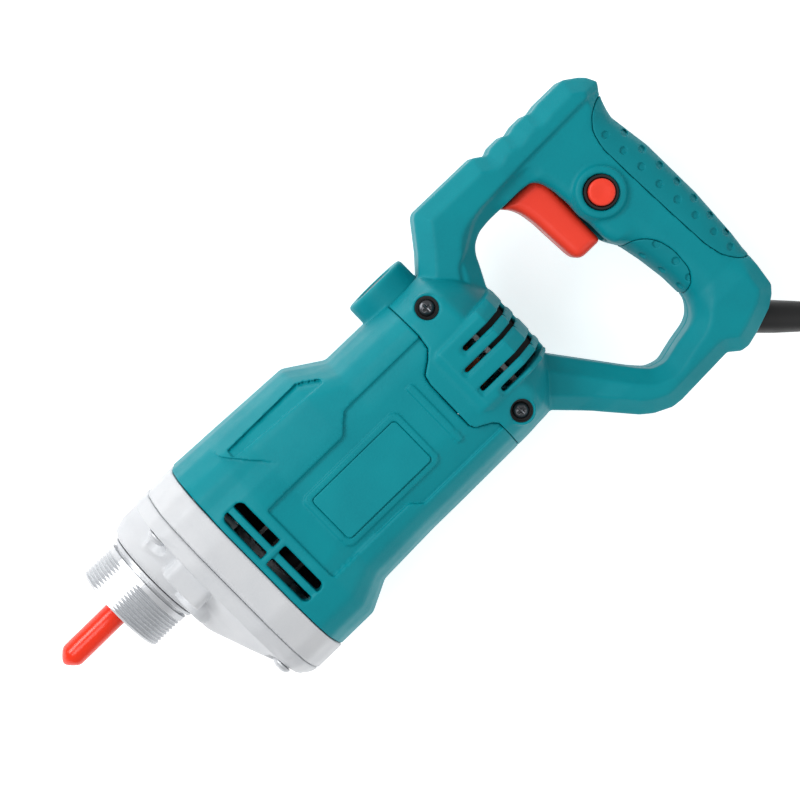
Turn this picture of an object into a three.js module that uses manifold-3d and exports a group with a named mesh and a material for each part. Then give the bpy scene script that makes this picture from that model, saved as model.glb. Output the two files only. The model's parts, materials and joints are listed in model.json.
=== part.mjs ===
// A hand-held concrete vibrator motor with a D-handle, a gear head and a threaded shaft coupling.
// Units are millimetres. The tool is modelled about its own axes: X runs from the coupling to the
// handle, Y is the tool's upper side and Z its left side, with Z = 0 on the plane where the two
// handle shells meet. The last lines stand the tool on its right side, with +Z up.
import * as THREE from 'three';
import { mergeVertices } from 'three/addons/utils/BufferGeometryUtils.js';
import { ConvexGeometry } from 'three/addons/geometries/ConvexGeometry.js';
import Module from 'manifold-3d';

const wasm = await Module();
wasm.setup();

// ---- Driving dimensions -------------------------------------------------------------------

const GAP = 0.3; // clearance between pieces that touch
const SPLIT = GAP / 2; // each handle shell stops this far from the mid-plane

const MOTOR_Y = -2.5; // height of the armature axis
const SPINDLE_Y = 25; // height of the spindle axis
const GEAR_MODULE = 1.25;
const PINION_TEETH = 10;
const GEAR_TEETH = 34; // with the pinion: (10 + 34) x 1.25 / 2 = 27.5 between the two axes

const HALF_WIDTH = 48; // the tool's half width, where it lies on the floor
const FLANGE_TOP = 53.5;
const SCREW_Y = 38.5; // the four long screws that hold the gear head
const SCREW_Z = 35;
const BRUSH_X = 121; // where the brushes press on the commutator
const HANDLE_HALF = 19; // half thickness of the grip
const RAIL_HALF = 21; // half thickness of the D-handle's other sides
const PAD_DEPTH = 2.5; // thickness of the soft grip pads
const WALL = 3;

const BUTTON_AT = [219.7, 10.5];
const TRIGGER_TRAVEL = 6;

const CORD_RADIUS = 4;
const CORD_EXIT = [235, -81]; // where the cord boot leaves the handle
const CORD_HEADING = [0.717, -0.697];
const BOOT_LENGTH = 45;
const FLOOR_Z = -HALF_WIDTH;
const COIL_AT = [362, -79];
const COIL_MIDDLE = 44; // radius at the middle of the coil's turns
const COIL_TURNS_WIDE = 3;

// ---- Materials ----------------------------------------------------------------------------

function finish(color, roughness, metalness = 0) {
  return { color, roughness, metalness };
}

const TEAL_PLASTIC = finish(0x008c96, 0.5);
const TEAL_RUBBER = finish(0x00828c, 0.7);
const RED_PLASTIC = finish(0xff4a35, 0.4);
const RED_VINYL = finish(0xff3a18, 0.3);
const BLACK_PLASTIC = finish(0x1a1a1b, 0.5);
const BLACK_RUBBER = finish(0x161617, 0.6);
const CAST_ALUMINIUM = finish(0xdfe0e2, 0.4, 0.9);
const STEEL = finish(0xb8bbc0, 0.3, 1);
const LAMINATION = finish(0x5c5f63, 0.5, 0.9);
const COPPER = finish(0xb0623a, 0.4, 0.9);
const BRASS = finish(0xc8a24a, 0.35, 1);
const CARBON = finish(0x2a2a2c, 0.7);

// ---- Solids -------------------------------------------------------------------------------

function solid(geometry) {
  const bare = geometry.clone();
  bare.deleteAttribute('normal');
  bare.deleteAttribute('uv');
  const merged = mergeVertices(bare, 1e-4);
  const triVerts = Uint32Array.from(merged.index.array);
  const vertProperties = Float32Array.from(merged.attributes.position.array);
  return new wasm.Manifold(new wasm.Mesh({ numProp: 3, vertProperties, triVerts }));
}

function geometryOf(body) {
  const mesh = body.getMesh();
  const geometry = new THREE.BufferGeometry();
  geometry.setAttribute('position', new THREE.BufferAttribute(mesh.vertProperties, 3));
  geometry.setIndex(new THREE.BufferAttribute(mesh.triVerts, 1));
  return geometry;
}

function union(bodies) {
  return bodies.reduce((sum, body) => sum.add(body));
}

function cut(body, tools) {
  return tools.reduce((rest, tool) => rest.subtract(tool), body);
}

function piece(name, body, look) {
  const mesh = new THREE.Mesh(geometryOf(body), new THREE.MeshStandardMaterial(look));
  mesh.name = name;
  return mesh;
}

function block([x0, x1], [y0, y1], [z0, z1]) {
  const box = new THREE.BoxGeometry(x1 - x0, y1 - y0, z1 - z0);
  return solid(box.translate((x0 + x1) / 2, (y0 + y1) / 2, (z0 + z1) / 2));
}

// A side-view outline, given as [x, y] corners, swept across the tool from z0 to z1.
function slab(corners, z0, z1, holes = []) {
  const shape = new THREE.Shape(corners.map(([x, y]) => new THREE.Vector2(x, y)));
  for (const hole of holes) {
    shape.holes.push(new THREE.Path(hole.map(([x, y]) => new THREE.Vector2(x, y))));
  }
  const swept = new THREE.ExtrudeGeometry(shape, { depth: z1 - z0, bevelEnabled: false });
  return solid(swept.translate(0, 0, z0));
}

// An outline in the plane across the tool, given as [y, z] corners, swept along X.
function bar(corners, x0, x1, holes = []) {
  const toPlane = (points) => points.map(([y, z]) => new THREE.Vector2(y, z));
  const shape = new THREE.Shape(toPlane(corners));
  for (const hole of holes) shape.holes.push(new THREE.Path(toPlane(hole)));
  const swept = new THREE.ExtrudeGeometry(shape, { depth: x1 - x0, bevelEnabled: false });
  const turn = new THREE.Matrix4().makeBasis(
    new THREE.Vector3(0, 1, 0), new THREE.Vector3(0, 0, 1), new THREE.Vector3(1, 0, 0));
  return solid(swept.applyMatrix4(turn).translate(x0, 0, 0));
}

function roundX(radius, x0, x1, [y, z] = [0, 0], sides = 24) {
  const rod = new THREE.CylinderGeometry(radius, radius, x1 - x0, sides);
  return solid(rod.rotateZ(-Math.PI / 2).translate((x0 + x1) / 2, y, z));
}

function roundY(radius, y0, y1, [x, z] = [0, 0], sides = 24) {
  const rod = new THREE.CylinderGeometry(radius, radius, y1 - y0, sides);
  return solid(rod.translate(x, (y0 + y1) / 2, z));
}

function roundZ(radius, z0, z1, [x, y] = [0, 0], sides = 20, topRadius = radius) {
  const rod = new THREE.CylinderGeometry(topRadius, radius, z1 - z0, sides);
  return solid(rod.rotateX(Math.PI / 2).translate(x, y, (z0 + z1) / 2));
}

// A turned solid on the X axis. The profile is a list of [x, radius] points.
function turned(profile, sides = 20) {
  const points = profile.map(([x, radius]) => new THREE.Vector2(radius, x));
  return solid(new THREE.LatheGeometry(points, sides).rotateZ(-Math.PI / 2));
}

function washerX(inner, outer, x0, x1, at = [0, 0], sides = 20) {
  return roundX(outer, x0, x1, at, sides).subtract(roundX(inner, x0 - 1, x1 + 1, at, sides));
}

function hull(points) {
  return solid(new ConvexGeometry(points.map((point) => new THREE.Vector3(...point))));
}

// A body that changes section along its length. The rings are convex, hold the same number of
// points in the same order, and are joined each to the next and closed at both ends.
function loft(rings) {
  const count = rings[0].length;
  const triangles = [];
  for (let ring = 0; ring < rings.length - 1; ring += 1) {
    for (let i = 0; i < count; i += 1) {
      const [a, b] = [ring * count + i, ring * count + ((i + 1) % count)];
      triangles.push(a, b, a + count, b, b + count, a + count);
    }
  }
  const last = (rings.length - 1) * count;
  for (let i = 1; i < count - 1; i += 1) {
    triangles.push(0, i + 1, i, last, last + i, last + i + 1);
  }
  const skin = new THREE.BufferGeometry();
  skin.setAttribute('position', new THREE.Float32BufferAttribute(rings.flat(2), 3));
  skin.setIndex(triangles);
  const body = solid(skin);
  if (body.volume() > 0) return body;
  skin.setIndex(triangles.reverse());
  return solid(skin);
}

function mirrored(corners) {
  return corners.map(([x, y]) => [x, -y]);
}

function bothSides(build) {
  return [build(1), build(-1)];
}

// ---- The casing's section -----------------------------------------------------------------

// Corner points of the casing's rounded section, from the crown to the flank:
// [drop below the crown, share of the half width], for a crown 53.5 above the middle.
const SECTION = [[0, 0.33], [3.5, 0.58], [8.5, 0.79], [15.5, 0.906], [26.5, 0.969], [33.5, 1]];

function casingRing(x, top, bottom, half) {
  const upper = SECTION.map(([drop, share]) => [top - (drop * top) / FLANGE_TOP, share * half]);
  const lower = SECTION.map(([drop, share]) =>
    [bottom - (drop * bottom) / FLANGE_TOP, share * half]);
  const flank = [...upper, ...lower.reverse()];
  return [...flank, ...mirrored(flank).reverse()].map(([y, z]) => [x, y, z]);
}

function casing(stations, inset = 0) {
  return loft(stations.map(([x, top, bottom, half]) =>
    casingRing(x, top - inset, bottom + inset, half - inset)));
}

const SCREW_PLACES = [[SCREW_Y, SCREW_Z], [SCREW_Y, -SCREW_Z], [-SCREW_Y, SCREW_Z],
  [-SCREW_Y, -SCREW_Z]];

function coverScrewHoles(radius, x0, x1) {
  return SCREW_PLACES.map((at) => roundX(radius, x0, x1, at, 12));
}

// ---- Motor housing ------------------------------------------------------------------------

const HOUSING_STATIONS = [
  [GAP, 54, -53, HALF_WIDTH],
  [20, 53, -53, HALF_WIDTH],
  [34, 52.4, -46, 46],
  [65, 51, -45, 46],
  [82, 40, -45, 46],
  [124, 39.6, -44.5, 46],
];

// The seam between the motor housing and the handle shells, seen from the side. Its middle part
// is a tongue of the shells that reaches forward under the louvres.
const SEAM = [[118, 60], [118.5, 22.3], [117.5, 16], [114, 12.5], [108.5, 8.5], [107.5, 4],
  [107.3, -20], [108.5, -22.5], [115, -26], [117.3, -28.5], [117.5, -60]];

// The shallow panel on each flank, which widens towards the rear.
const PANEL = [[20, 14.5], [65, 14.5], [73, 22], [130, 22], [130, -31], [70, -31], [65, -26],
  [20, -26]];
const PANEL_DEPTH = 1.8;
const PANEL_Z = 46 - PANEL_DEPTH;
const PLATE_X = [36, 86];
const PLATE_Y = [-19.5, 4.5];
const FRAME_WIDTH = 2.6;

const EARS = [[129.3, 28.5], [127.9, -31.7]]; // where the rear screws hold the shells
const EAR_FACES = [38.2, 40.6];

function seamBehind(shift) {
  return slab([...SEAM.map(([x, y]) => [x + shift, y]), [280, -120], [280, 120]], -60, 60);
}

function frameBlock(side) {
  const [x0, x1] = PLATE_X;
  const [y0, y1] = PLATE_Y;
  const rim = FRAME_WIDTH;
  const depth = side > 0 ? [PANEL_Z - 1, PANEL_Z + 1.2] : [-PANEL_Z - 1.2, -PANEL_Z + 1];
  const outer = block([x0 - rim, x1 + rim], [y0 - rim, y1 + rim], depth);
  return outer.subtract(block([x0, x1], [y0, y1], [depth[0] - 1, depth[1] + 1]));
}

function flankRib(side) {
  const depth = side > 0 ? [PANEL_Z - 1, PANEL_Z + 1.2] : [-PANEL_Z - 1.2, -PANEL_Z + 1];
  return block([98.5, 102], [-22.5, 10.5], depth);
}

// Each flank has four cooling slots near the fan, in two columns and two rows.
function fanVents() {
  const slots = [];
  for (const columns of [[3.5, 7.5], [10.5, 15]]) {
    for (const rows of [[1.5, 25.8], [-25.8, -1.5]]) {
      slots.push(block(columns, rows, [30, 60]), block(columns, rows, [-60, -30]));
    }
  }
  return slots;
}

function brushBosses() {
  return [
    roundY(15.5, 32.7, 50, [BRUSH_X, 0], 24),
    roundY(9, 22, 35, [BRUSH_X, 0], 20),
    roundY(11, -44.3, -24, [BRUSH_X, 0], 24),
  ];
}

function brushBores() {
  return [
    roundY(6.5, 10, 60, [BRUSH_X, 0], 20),
    roundY(10, 44.7, 60, [BRUSH_X, 0], 24),
    roundY(6.5, -60, -15, [BRUSH_X, 0], 20),
    roundY(8.5, -60, -40.3, [BRUSH_X, 0], 20),
  ];
}

function housingEars() {
  return EARS.flatMap(([x, y]) => bothSides((side) => {
    const ends = side > 0 ? [14, 27] : [-27, -14];
    const web = block([104, x], [y - 3, y + 3], ends);
    return web.add(roundZ(4.5, ...ends, [x, y], 14));
  }));
}

function motorHousing() {
  const panels = slab(PANEL, -60, 60).subtract(casing(HOUSING_STATIONS, PANEL_DEPTH));
  const shell = casing(HOUSING_STATIONS).subtract(panels).subtract(seamBehind(-GAP));
  const bore = union([
    roundX(43.5, -1, 46, [MOTOR_Y + 1.5, 0], 36),
    roundX(39.2, 45, 92.3, [MOTOR_Y, 0], 36),
    roundX(37, 91, 140, [MOTOR_Y, 0], 36),
  ]);
  const body = union([
    shell.subtract(bore),
    ...bothSides(frameBlock),
    ...bothSides(flankRib),
    ...brushBosses(),
    ...housingEars(),
  ]);
  const pilots = EARS.map((at) => roundZ(2.3, -40, 40, at, 12));
  const clear = roundX(16.5, 90, 140, [MOTOR_Y, 0], 32);
  return cut(body, [...fanVents(), ...brushBores(), ...pilots, clear,
    ...coverScrewHoles(2.3, -1, 22)]);
}

function ratingPlate(side) {
  const [x0, x1] = PLATE_X;
  const [y0, y1] = PLATE_Y;
  const level = PANEL_Z + GAP;
  const depth = side > 0 ? [level, level + 0.6] : [-level - 0.6, -level];
  return block([x0 + GAP, x1 - GAP], [y0 + GAP, y1 - GAP], depth);
}

// ---- Gear head ----------------------------------------------------------------------------

const CASE_X = [-14.4, 0];
const COVER_X = -14.7;
const PAD_X = -22; // front faces of the four screw pads

function gearCase() {
  const flange = casing([[CASE_X[0], FLANGE_TOP, -FLANGE_TOP, HALF_WIDTH],
    [CASE_X[1], FLANGE_TOP, -FLANGE_TOP, HALF_WIDTH]]);
  const hub = roundX(18, -1, 4.4, [MOTOR_Y, 0]);
  return cut(flange.add(hub), [
    roundX(8.2, -20, 10, [MOTOR_Y, 0]),
    roundX(13.3, -4.3, 10, [MOTOR_Y, 0]),
    roundX(11.3, -20, -6.7, [SPINDLE_Y, 0]),
    ...coverScrewHoles(2.3, -20, 1),
  ]);
}

function circlePoints(x, radius, y, sides = 20) {
  return Array.from({ length: sides }, (_, i) => {
    const turn = (2 * Math.PI * i) / sides;
    return [x, y + radius * Math.cos(turn), radius * Math.sin(turn)];
  });
}

function gearCoverOutside() {
  const flange = casing([
    [PAD_X, FLANGE_TOP, -49.6, 47],
    [-19.5, FLANGE_TOP, -50, HALF_WIDTH],
    [-17, FLANGE_TOP, -FLANGE_TOP, HALF_WIDTH],
    [COVER_X, FLANGE_TOP, -FLANGE_TOP, HALF_WIDTH],
  ]);
  const lobe = loft([
    circlePoints(-38.5, 23, SPINDLE_Y),
    circlePoints(-29, 28.4, SPINDLE_Y),
    circlePoints(COVER_X, 28.4, SPINDLE_Y),
  ]);
  const skirt = hull([
    ...circlePoints(-38, 22, SPINDLE_Y),
    ...circlePoints(-37.5, 10.5, MOTOR_Y),
    ...circlePoints(-33, 18, MOTOR_Y),
    ...casingRing(-24, 46, -40, 40),
    ...casingRing(-18, 46, -44, 46),
  ]);
  const knuckles = bothSides((side) => roundX(8.5, -35.5, -20, [5.5, side * 21], 20));
  return union([flange, lobe, skirt, ...knuckles]);
}

function gearCover() {
  const screwAccess = SCREW_PLACES.map((at) => roundX(9, -60, PAD_X, at, 20));
  return cut(gearCoverOutside(), [
    ...screwAccess,
    roundX(24.6, -28.6, -10, [SPINDLE_Y, 0]),
    roundX(10, -28.6, -10, [MOTOR_Y, 0], 24),
    roundX(13.3, -36.9, -20, [SPINDLE_Y, 0]),
    roundX(11.5, -50, -30, [SPINDLE_Y, 0]),
    ...coverScrewHoles(2.3, -40, 0),
  ]);
}

function coverScrew() {
  return turned([[0, 0], [0, 3.2], [0.9, 4.4], [3.2, 4.7], [3.2, 2], [42, 2], [43, 0]], 12);
}

// The coupling's thread is drawn in full on the finished surface. Here it is a plain barrel, with
// the neck behind it, the flange that meets the cover and the two milled flats.
const NOSE_RADIUS = 22.5;
const FLAT_ANGLE = 26; // degrees that the flats lean from the left side towards the top

function couplingNose() {
  const barrel = turned([
    [-60.5, 15], [-60.5, 21.4], [-59.4, NOSE_RADIUS], [-42, NOSE_RADIUS], [-42, 20.4],
    [-40.3, 20.4], [-40.3, 23.4], [-38.8, 23.4], [-38.8, 11.3], [-37.2, 11.3], [-37.2, 6.2],
    [-44.5, 6.2], [-46, 15], [-60.5, 15],
  ], 28);
  const flats = [0, 180].map((turn) => {
    const side = new THREE.BoxGeometry(18.6, 40, 20).translate(-51.3, 0, 31);
    side.rotateX(THREE.MathUtils.degToRad(-FLAT_ANGLE + turn));
    return solid(side);
  });
  const pocket = roundX(10.2, -44.3, -38, [0, 0], 32);
  return cut(barrel, [...flats, pocket]);
}

// ---- Gears and spindle --------------------------------------------------------------------

// Straight-sided teeth with enough play to run freely, as [y, z] corners about the axis.
function gearOutline(teeth, phase = 0) {
  const pitch = (GEAR_MODULE * teeth) / 2;
  const tip = pitch + 0.8 * GEAR_MODULE;
  const root = pitch - 1.1 * GEAR_MODULE;
  const step = (2 * Math.PI) / teeth;
  const flank = [[root, -0.30], [tip, -0.105], [tip, 0.105], [root, 0.30]];
  return Array.from({ length: teeth }, (_, i) => flank.map(([radius, share]) => {
    const turn = (i + share + phase) * step;
    return [radius * Math.cos(turn), radius * Math.sin(turn)];
  })).flat();
}

function circleOutline(radius, sides = 24) {
  return circlePoints(0, radius, 0, sides).map(([, y, z]) => [y, z]);
}

function spindle() {
  return turned([[-88, 0], [-88, 3.6], [-87, 4.4], [-52, 4.4], [-52, 5], [-14.2, 5], [-14.2, 4],
    [-7.2, 4], [-7.2, 0]], 24);
}

function spindleGear() {
  return bar(gearOutline(GEAR_TEETH, 0.5), -27, -17, [circleOutline(5.3)]);
}

function spindleCap() {
  return turned([[-95, 0], [-94.2, 2], [-91.3, 4.9], [-89.5, 5.75], [-57, 5.75], [-57, 4.75],
    [-89, 4.75], [-90, 0]], 24);
}

// ---- Armature -----------------------------------------------------------------------------

function armatureShaft() {
  const shaft = turned([[-28.2, 0], [-28.2, 4.5], [-16, 4.5], [-16, 5],
    [137.4, 5], [137.4, 4], [145, 4], [145, 0]], 20);
  return shaft.add(bar(gearOutline(PINION_TEETH), -28, -15.6));
}

function slottedCore() {
  const slots = 12;
  const outline = Array.from({ length: slots }, (_, i) => {
    const step = (2 * Math.PI) / slots;
    return [[15, -0.46], [23.8, -0.4], [24.2, 0], [23.8, 0.4], [15, 0.46]].map(([r, share]) =>
      [r * Math.cos((i + share) * step), r * Math.sin((i + share) * step)]);
  }).flat();
  return bar(outline, 48, 90, [circleOutline(5.3)]);
}

function winding(x0, x1) {
  const bulge = (x0 + x1) / 2;
  return turned([[x0, 5.3], [x0, 19], [bulge, 22.5], [x1, 21], [x1, 5.3], [x0, 5.3]], 20);
}

function coolingFan() {
  const hub = roundX(9, 6, 18, [0, 0], 20).add(roundX(37, 16, 18, [0, 0], 32));
  const blades = Array.from({ length: 10 }, (_, i) => {
    const blade = new THREE.BoxGeometry(10.5, 28, 1.8).translate(11.2, 22, 0);
    return solid(blade.rotateX((2 * Math.PI * i) / 10));
  });
  return union([hub, ...blades]).subtract(roundX(5.3, 0, 20, [0, 0], 20));
}

// ---- Field ----------------------------------------------------------------------------------

function sector(inner, outer, from, to, x0, x1) {
  const steps = 3;
  const arc = (radius, a, b) => Array.from({ length: steps + 1 }, (_, i) => {
    const turn = THREE.MathUtils.degToRad(a + ((b - a) * i) / steps);
    return [radius * Math.cos(turn), radius * Math.sin(turn)];
  });
  return bar([...arc(outer, from, to), ...arc(inner, to, from)], x0, x1);
}

const WINDOW = [44, 76]; // degrees from the pole's middle to its coil

function statorCore() {
  const [from, to] = WINDOW;
  const windows = [[from, to], [-to, -from], [180 + from, 180 + to], [180 - to, 180 - from]];
  const ring = washerX(24.7, 38.9, 46.6, 92, [0, 0], 36);
  return cut(ring, windows.map(([a, b]) => sector(20, 34.4, a - 0.6, b + 0.6, 40, 100)));
}

function fieldCoil(middle) {
  const [from, to] = WINDOW;
  const span = [middle - to, middle + to];
  return union([
    sector(26, 34, ...span, 38, 46.3),
    sector(26, 34, ...span, 92.3, 100),
    sector(26, 34, middle + from, middle + to, 40, 98),
    sector(26, 34, middle - to, middle - from, 40, 98),
  ]);
}

// ---- Brush gear ---------------------------------------------------------------------------

function helix(radius, wire, from, to, turns, perTurn = 8) {
  const points = Array.from({ length: turns * perTurn + 1 }, (_, i) => {
    const turn = (2 * Math.PI * i) / perTurn;
    const along = from + ((to - from) * i) / (turns * perTurn);
    return new THREE.Vector3(radius * Math.cos(turn), along, radius * Math.sin(turn));
  });
  const section = new THREE.Shape(Array.from({ length: 5 }, (_, i) =>
    new THREE.Vector2(wire * Math.cos((2 * Math.PI * i) / 5), wire * Math.sin((2 * Math.PI * i) / 5))));
  return solid(new THREE.ExtrudeGeometry(section, {
    extrudePath: new THREE.CatmullRomCurve3(points), steps: turns * perTurn,
  }));
}

function brushHolder(y0, y1) {
  return roundY(6.2, y0, y1, [0, 0], 20)
    .subtract(block([-3.3, 3.3], [y0 - 1, y1 + 1], [-4.8, 4.8]));
}

function brushCap(radius, height) {
  const cap = roundY(radius, 0, height, [0, 0], 24);
  return cap.subtract(block([-7, 7], [height - 1.5, height + 1], [-1, 1]));
}

// ---- Handle shells ------------------------------------------------------------------------

// The rear cup that closes the motor, then the dome between the handle's two roots.
const CUP_STATIONS = [[106, 39.8, -44.8, 46], [124, 39.6, -44.5, 46], [137, 38.8, -43.6, 45],
  [148, 30, -33, 32], [152, 22, -27, 22]];

function rearCup(inset = 0) {
  const cup = casing(CUP_STATIONS.map(([x, ...size]) => [x > 140 ? x - inset : x, ...size]), inset);
  const dome = hull([
    ...domeRing(112, 14, -22.3, 46, inset), ...domeRing(119, 14, -22.3, 48, inset),
    ...domeRing(143, 14, -22.3, 47.5, inset), ...domeRing(150.5, 13, -21.5, 39, inset),
    ...domeRing(154.5, 11.5, -20.5, 26, inset), ...domeRing(156.3, 9, -19, 14, inset),
  ]);
  return cup.add(dome);
}

function domeRing(x, top, bottom, half, inset) {
  const back = x > 140 ? inset : 0;
  return [[top - inset, half - 3 - inset], [top - 3 - inset, half - inset],
    [bottom + 3 + inset, half - inset], [bottom + inset, half - 3 - inset]]
    .flatMap(([y, z]) => [[x - back, y, z], [x - back, y, -z]]);
}

// One cross section of the D-handle, between a point on its outer edge and one on its inner edge.
function handleRing([outerX, outerY, innerX, innerY, half], inset) {
  const outer = new THREE.Vector2(outerX, outerY);
  const inner = new THREE.Vector2(innerX, innerY);
  const across = inner.clone().sub(outer).normalize();
  outer.addScaledVector(across, inset);
  inner.addScaledVector(across, -inset);
  const chamfer = 6;
  const level = half - inset;
  const near = [[outer, 0], [outer, chamfer], [inner, -chamfer], [inner, 0]].map(([edge, shift]) => {
    const at = edge.clone().addScaledVector(across, shift);
    return [at.x, at.y, shift === 0 ? level - chamfer : level];
  });
  return [...near, ...near.map(([x, y, z]) => [x, y, -z]).reverse()];
}

const RAIL = [
  [133, 33, 149, 4, RAIL_HALF], [144, 47, 157, 18, RAIL_HALF], [154, 58.8, 162, 29.5, RAIL_HALF],
  [161, 60.3, 168.5, 34, RAIL_HALF], [176, 60.2, 176, 35.2, RAIL_HALF],
  [190, 60, 190, 35.2, RAIL_HALF], [196, 56.4, 196, 35.2, RAIL_HALF],
  [206, 57.6, 206, 35.2, RAIL_HALF], [241, 57.2, 241, 36, RAIL_HALF],
  [250.4, 50.6, 249, 38, 19], [252.9, 46.6, 248.8, 41.9, 16.4],
];
const GRIP = [
  [248.6, 42.7, 207, 42.7, HANDLE_HALF], [247.3, 30, 207, 30, HANDLE_HALF],
  [250.4, 10, 207, 10, HANDLE_HALF], [251.4, -7, 207, -7, HANDLE_HALF],
  [251.6, -14, 211.5, -14, HANDLE_HALF], [251.3, -26, 214.2, -26, HANDLE_HALF],
  [250.8, -42, 216.4, -42, HANDLE_HALF], [249.8, -57, 214, -55.5, HANDLE_HALF],
];
const BEAM = [
  [247, -72, 208, -60, 20], [239, -79, 204, -61, RAIL_HALF],
  [221, -85, 200, -61.7, RAIL_HALF], [206, -80.6, 196, -62.6, RAIL_HALF],
  [184, -81.5, 188, -63.7, RAIL_HALF], [170, -77.3, 181, -60, RAIL_HALF],
  [151, -57.5, 166, -41, RAIL_HALF], [133, -39.5, 150, -20, RAIL_HALF],
];

function handleChain(sections, inset = 0) {
  return loft(sections.map((section) => handleRing(section, inset)));
}

const BACK_PAD = [[258, 41], [246.5, 40.5], [240.5, 37.5], [235.5, 31.5], [233.5, 23.5],
  [234.5, 6.5], [236, -18.5], [237.5, -38.5], [239.5, -46.5], [243.5, -52.5], [247, -55.5],
  [258, -56.5]];
const FRONT_PAD = [[203, -13.5], [214.5, -14.5], [219.5, -17.5], [223.5, -22.5],
  [225.5, -30.5], [225, -40.5], [222.1, -46], [217, -48.5], [203, -49]];

function grownOutline(corners, by) {
  const middle = corners.reduce((sum, [x, y]) => [sum[0] + x / corners.length,
    sum[1] + y / corners.length], [0, 0]);
  return corners.map(([x, y]) => {
    const away = new THREE.Vector2(x - middle[0], y - middle[1]).normalize();
    return [x + away.x * by, y + away.y * by];
  });
}

const GRIP_POCKET = [[211, 33], [238, 33], [243, 26], [246, 8], [246.5, -20], [245.5, -44],
  [243, -60], [241, -70], [234, -76], [222, -79.5], [211, -76.5], [206, -70], [213, -63.5],
  [219.5, -56], [220.3, -42], [218, -26], [215.5, -12], [211, -6]];
const RAIL_POCKET = [[152, 36], [163, 41], [176, 41], [228, 41], [228, 52], [192, 54], [158, 55]];
const BEAM_POCKET = [[150, -38], [158, -38], [178, -63], [187, -69], [196, -69], [196, -75.5],
  [184, -76], [173, -72], [153, -52]];
const RIGHT_SCREWS = [[232, 47.2], [200.6, -71.8]]; // join the two shells

const LOUVRES = [[128, 4, 6.5], [122, -3, -1], [121.5, -13.5, -11], [127.9, -19.9, -17.4]];

function louvres(side) {
  const depth = side > 0 ? [22, 60] : [-60, -22];
  return LOUVRES.map(([x, y0, y1]) => block([x, 160], [y0, y1], depth));
}

const HEADING = new THREE.Vector3(...CORD_HEADING, 0);

// Lays a solid that was turned about the X axis along the cord's way out of the handle.
function alongExit(geometry) {
  const turn = new THREE.Quaternion().setFromUnitVectors(new THREE.Vector3(1, 0, 0), HEADING);
  return geometry.applyQuaternion(turn).translate(CORD_EXIT[0], CORD_EXIT[1], 0);
}

function turnedAlongExit(profile, sides = 24) {
  const points = profile.map(([s, radius]) => new THREE.Vector2(radius, s));
  return solid(alongExit(new THREE.LatheGeometry(points, sides).rotateZ(-Math.PI / 2)));
}

function bootPocket() {
  return turnedAlongExit([[-13.3, 0], [-13.3, 10.4], [-7.7, 10.4], [-7.7, 7.9], [12, 7.9], [12, 0]]);
}

function handleOutside() {
  const mound = roundZ(13.5, 17, 21.5, BUTTON_AT, 28, 11);
  const farMound = roundZ(11, -21.5, -17, BUTTON_AT, 28, 13.5);
  const corner = slab([[198, 36], [208, 36], [208, 24], [205, 26], [203.5, 31], [201, 34.5]],
    -HANDLE_HALF + 1, HANDLE_HALF - 1);
  const opening = slab([[156.6, 6], [156.6, -17], [150, -20], [150, 8]], -60, 60);
  const gripAndBeam = handleChain([...GRIP, ...BEAM]);
  return union([handleChain(RAIL), gripAndBeam, corner, mound, farMound])
    .subtract(opening).add(rearCup());
}

function handleInside() {
  const z = HANDLE_HALF - PAD_DEPTH - 2;
  return union([
    rearCup(WALL),
    roundX(38, 100, 122, [MOTOR_Y, 0]),
    slab(GRIP_POCKET, -z, z), slab(RAIL_POCKET, -z - 2, z + 2), slab(BEAM_POCKET, -z - 2, z + 2),
    block([202.5, 213.5], [-7.8, 35.6], [-12, 12]),
    block([195, 213.5], [30, 35.6], [-12, 12]),
  ]);
}

function padRecess(outline) {
  const under = handleChain(GRIP, PAD_DEPTH + GAP);
  return slab(grownOutline(outline, GAP), -60, 60).subtract(under);
}

function shellColumns(side) {
  const near = side * 27.3;
  const ears = EARS.map((at, i) => {
    const far = side * EAR_FACES[i];
    return roundZ(5.5, Math.min(near, far), Math.max(near, far), at, 14);
  });
  const reach = side * 17;
  const posts = RIGHT_SCREWS.map((at) => roundZ(4.2, Math.min(0, reach), Math.max(0, reach), at, 14));
  return [...ears, ...posts];
}

function screwRecesses(side) {
  const ears = EARS.flatMap((at) => [
    roundZ(2.3, Math.min(0, side * 60), Math.max(0, side * 60), at, 12),
    roundZ(5.2, Math.min(side * 36, side * 60), Math.max(side * 36, side * 60), at, 20),
  ]);
  const deep = side > 0 ? [-1, 14] : [-60, 1];
  const posts = RIGHT_SCREWS.map((at) => roundZ(1.8, ...deep, at, 12));
  const heads = side > 0 ? [] : RIGHT_SCREWS.map((at) => roundZ(4.8, -60, -14, at, 20));
  return [...ears, ...posts, ...heads];
}

function handleShell(side) {
  const half = side > 0 ? [SPLIT, 60] : [-60, -SPLIT];
  const bossRoom = [roundY(15.9, 30, 60, [BRUSH_X, 0]), roundY(11.4, -60, -30, [BRUSH_X, 0])];
  const body = cut(handleOutside(), [handleInside(), padRecess(BACK_PAD), padRecess(FRONT_PAD)]);
  const fitted = union([body, ...shellColumns(side)]).intersect(seamBehind(0));
  const buttonHole = side > 0 ? [roundZ(8.05, 5, 60, BUTTON_AT, 24)] : [];
  return cut(fitted, [...louvres(side), ...screwRecesses(side), ...bossRoom, ...buttonHole,
    bootPocket()]).intersect(block([90, 260], [-100, 80], half));
}

function gripPad(outline, side) {
  const half = side > 0 ? [SPLIT, 60] : [-60, -SPLIT];
  return handleChain(GRIP).intersect(slab(outline, -60, 60))
    .subtract(handleChain(GRIP, PAD_DEPTH)).intersect(block([200, 260], [-60, 45], half));
}

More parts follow.
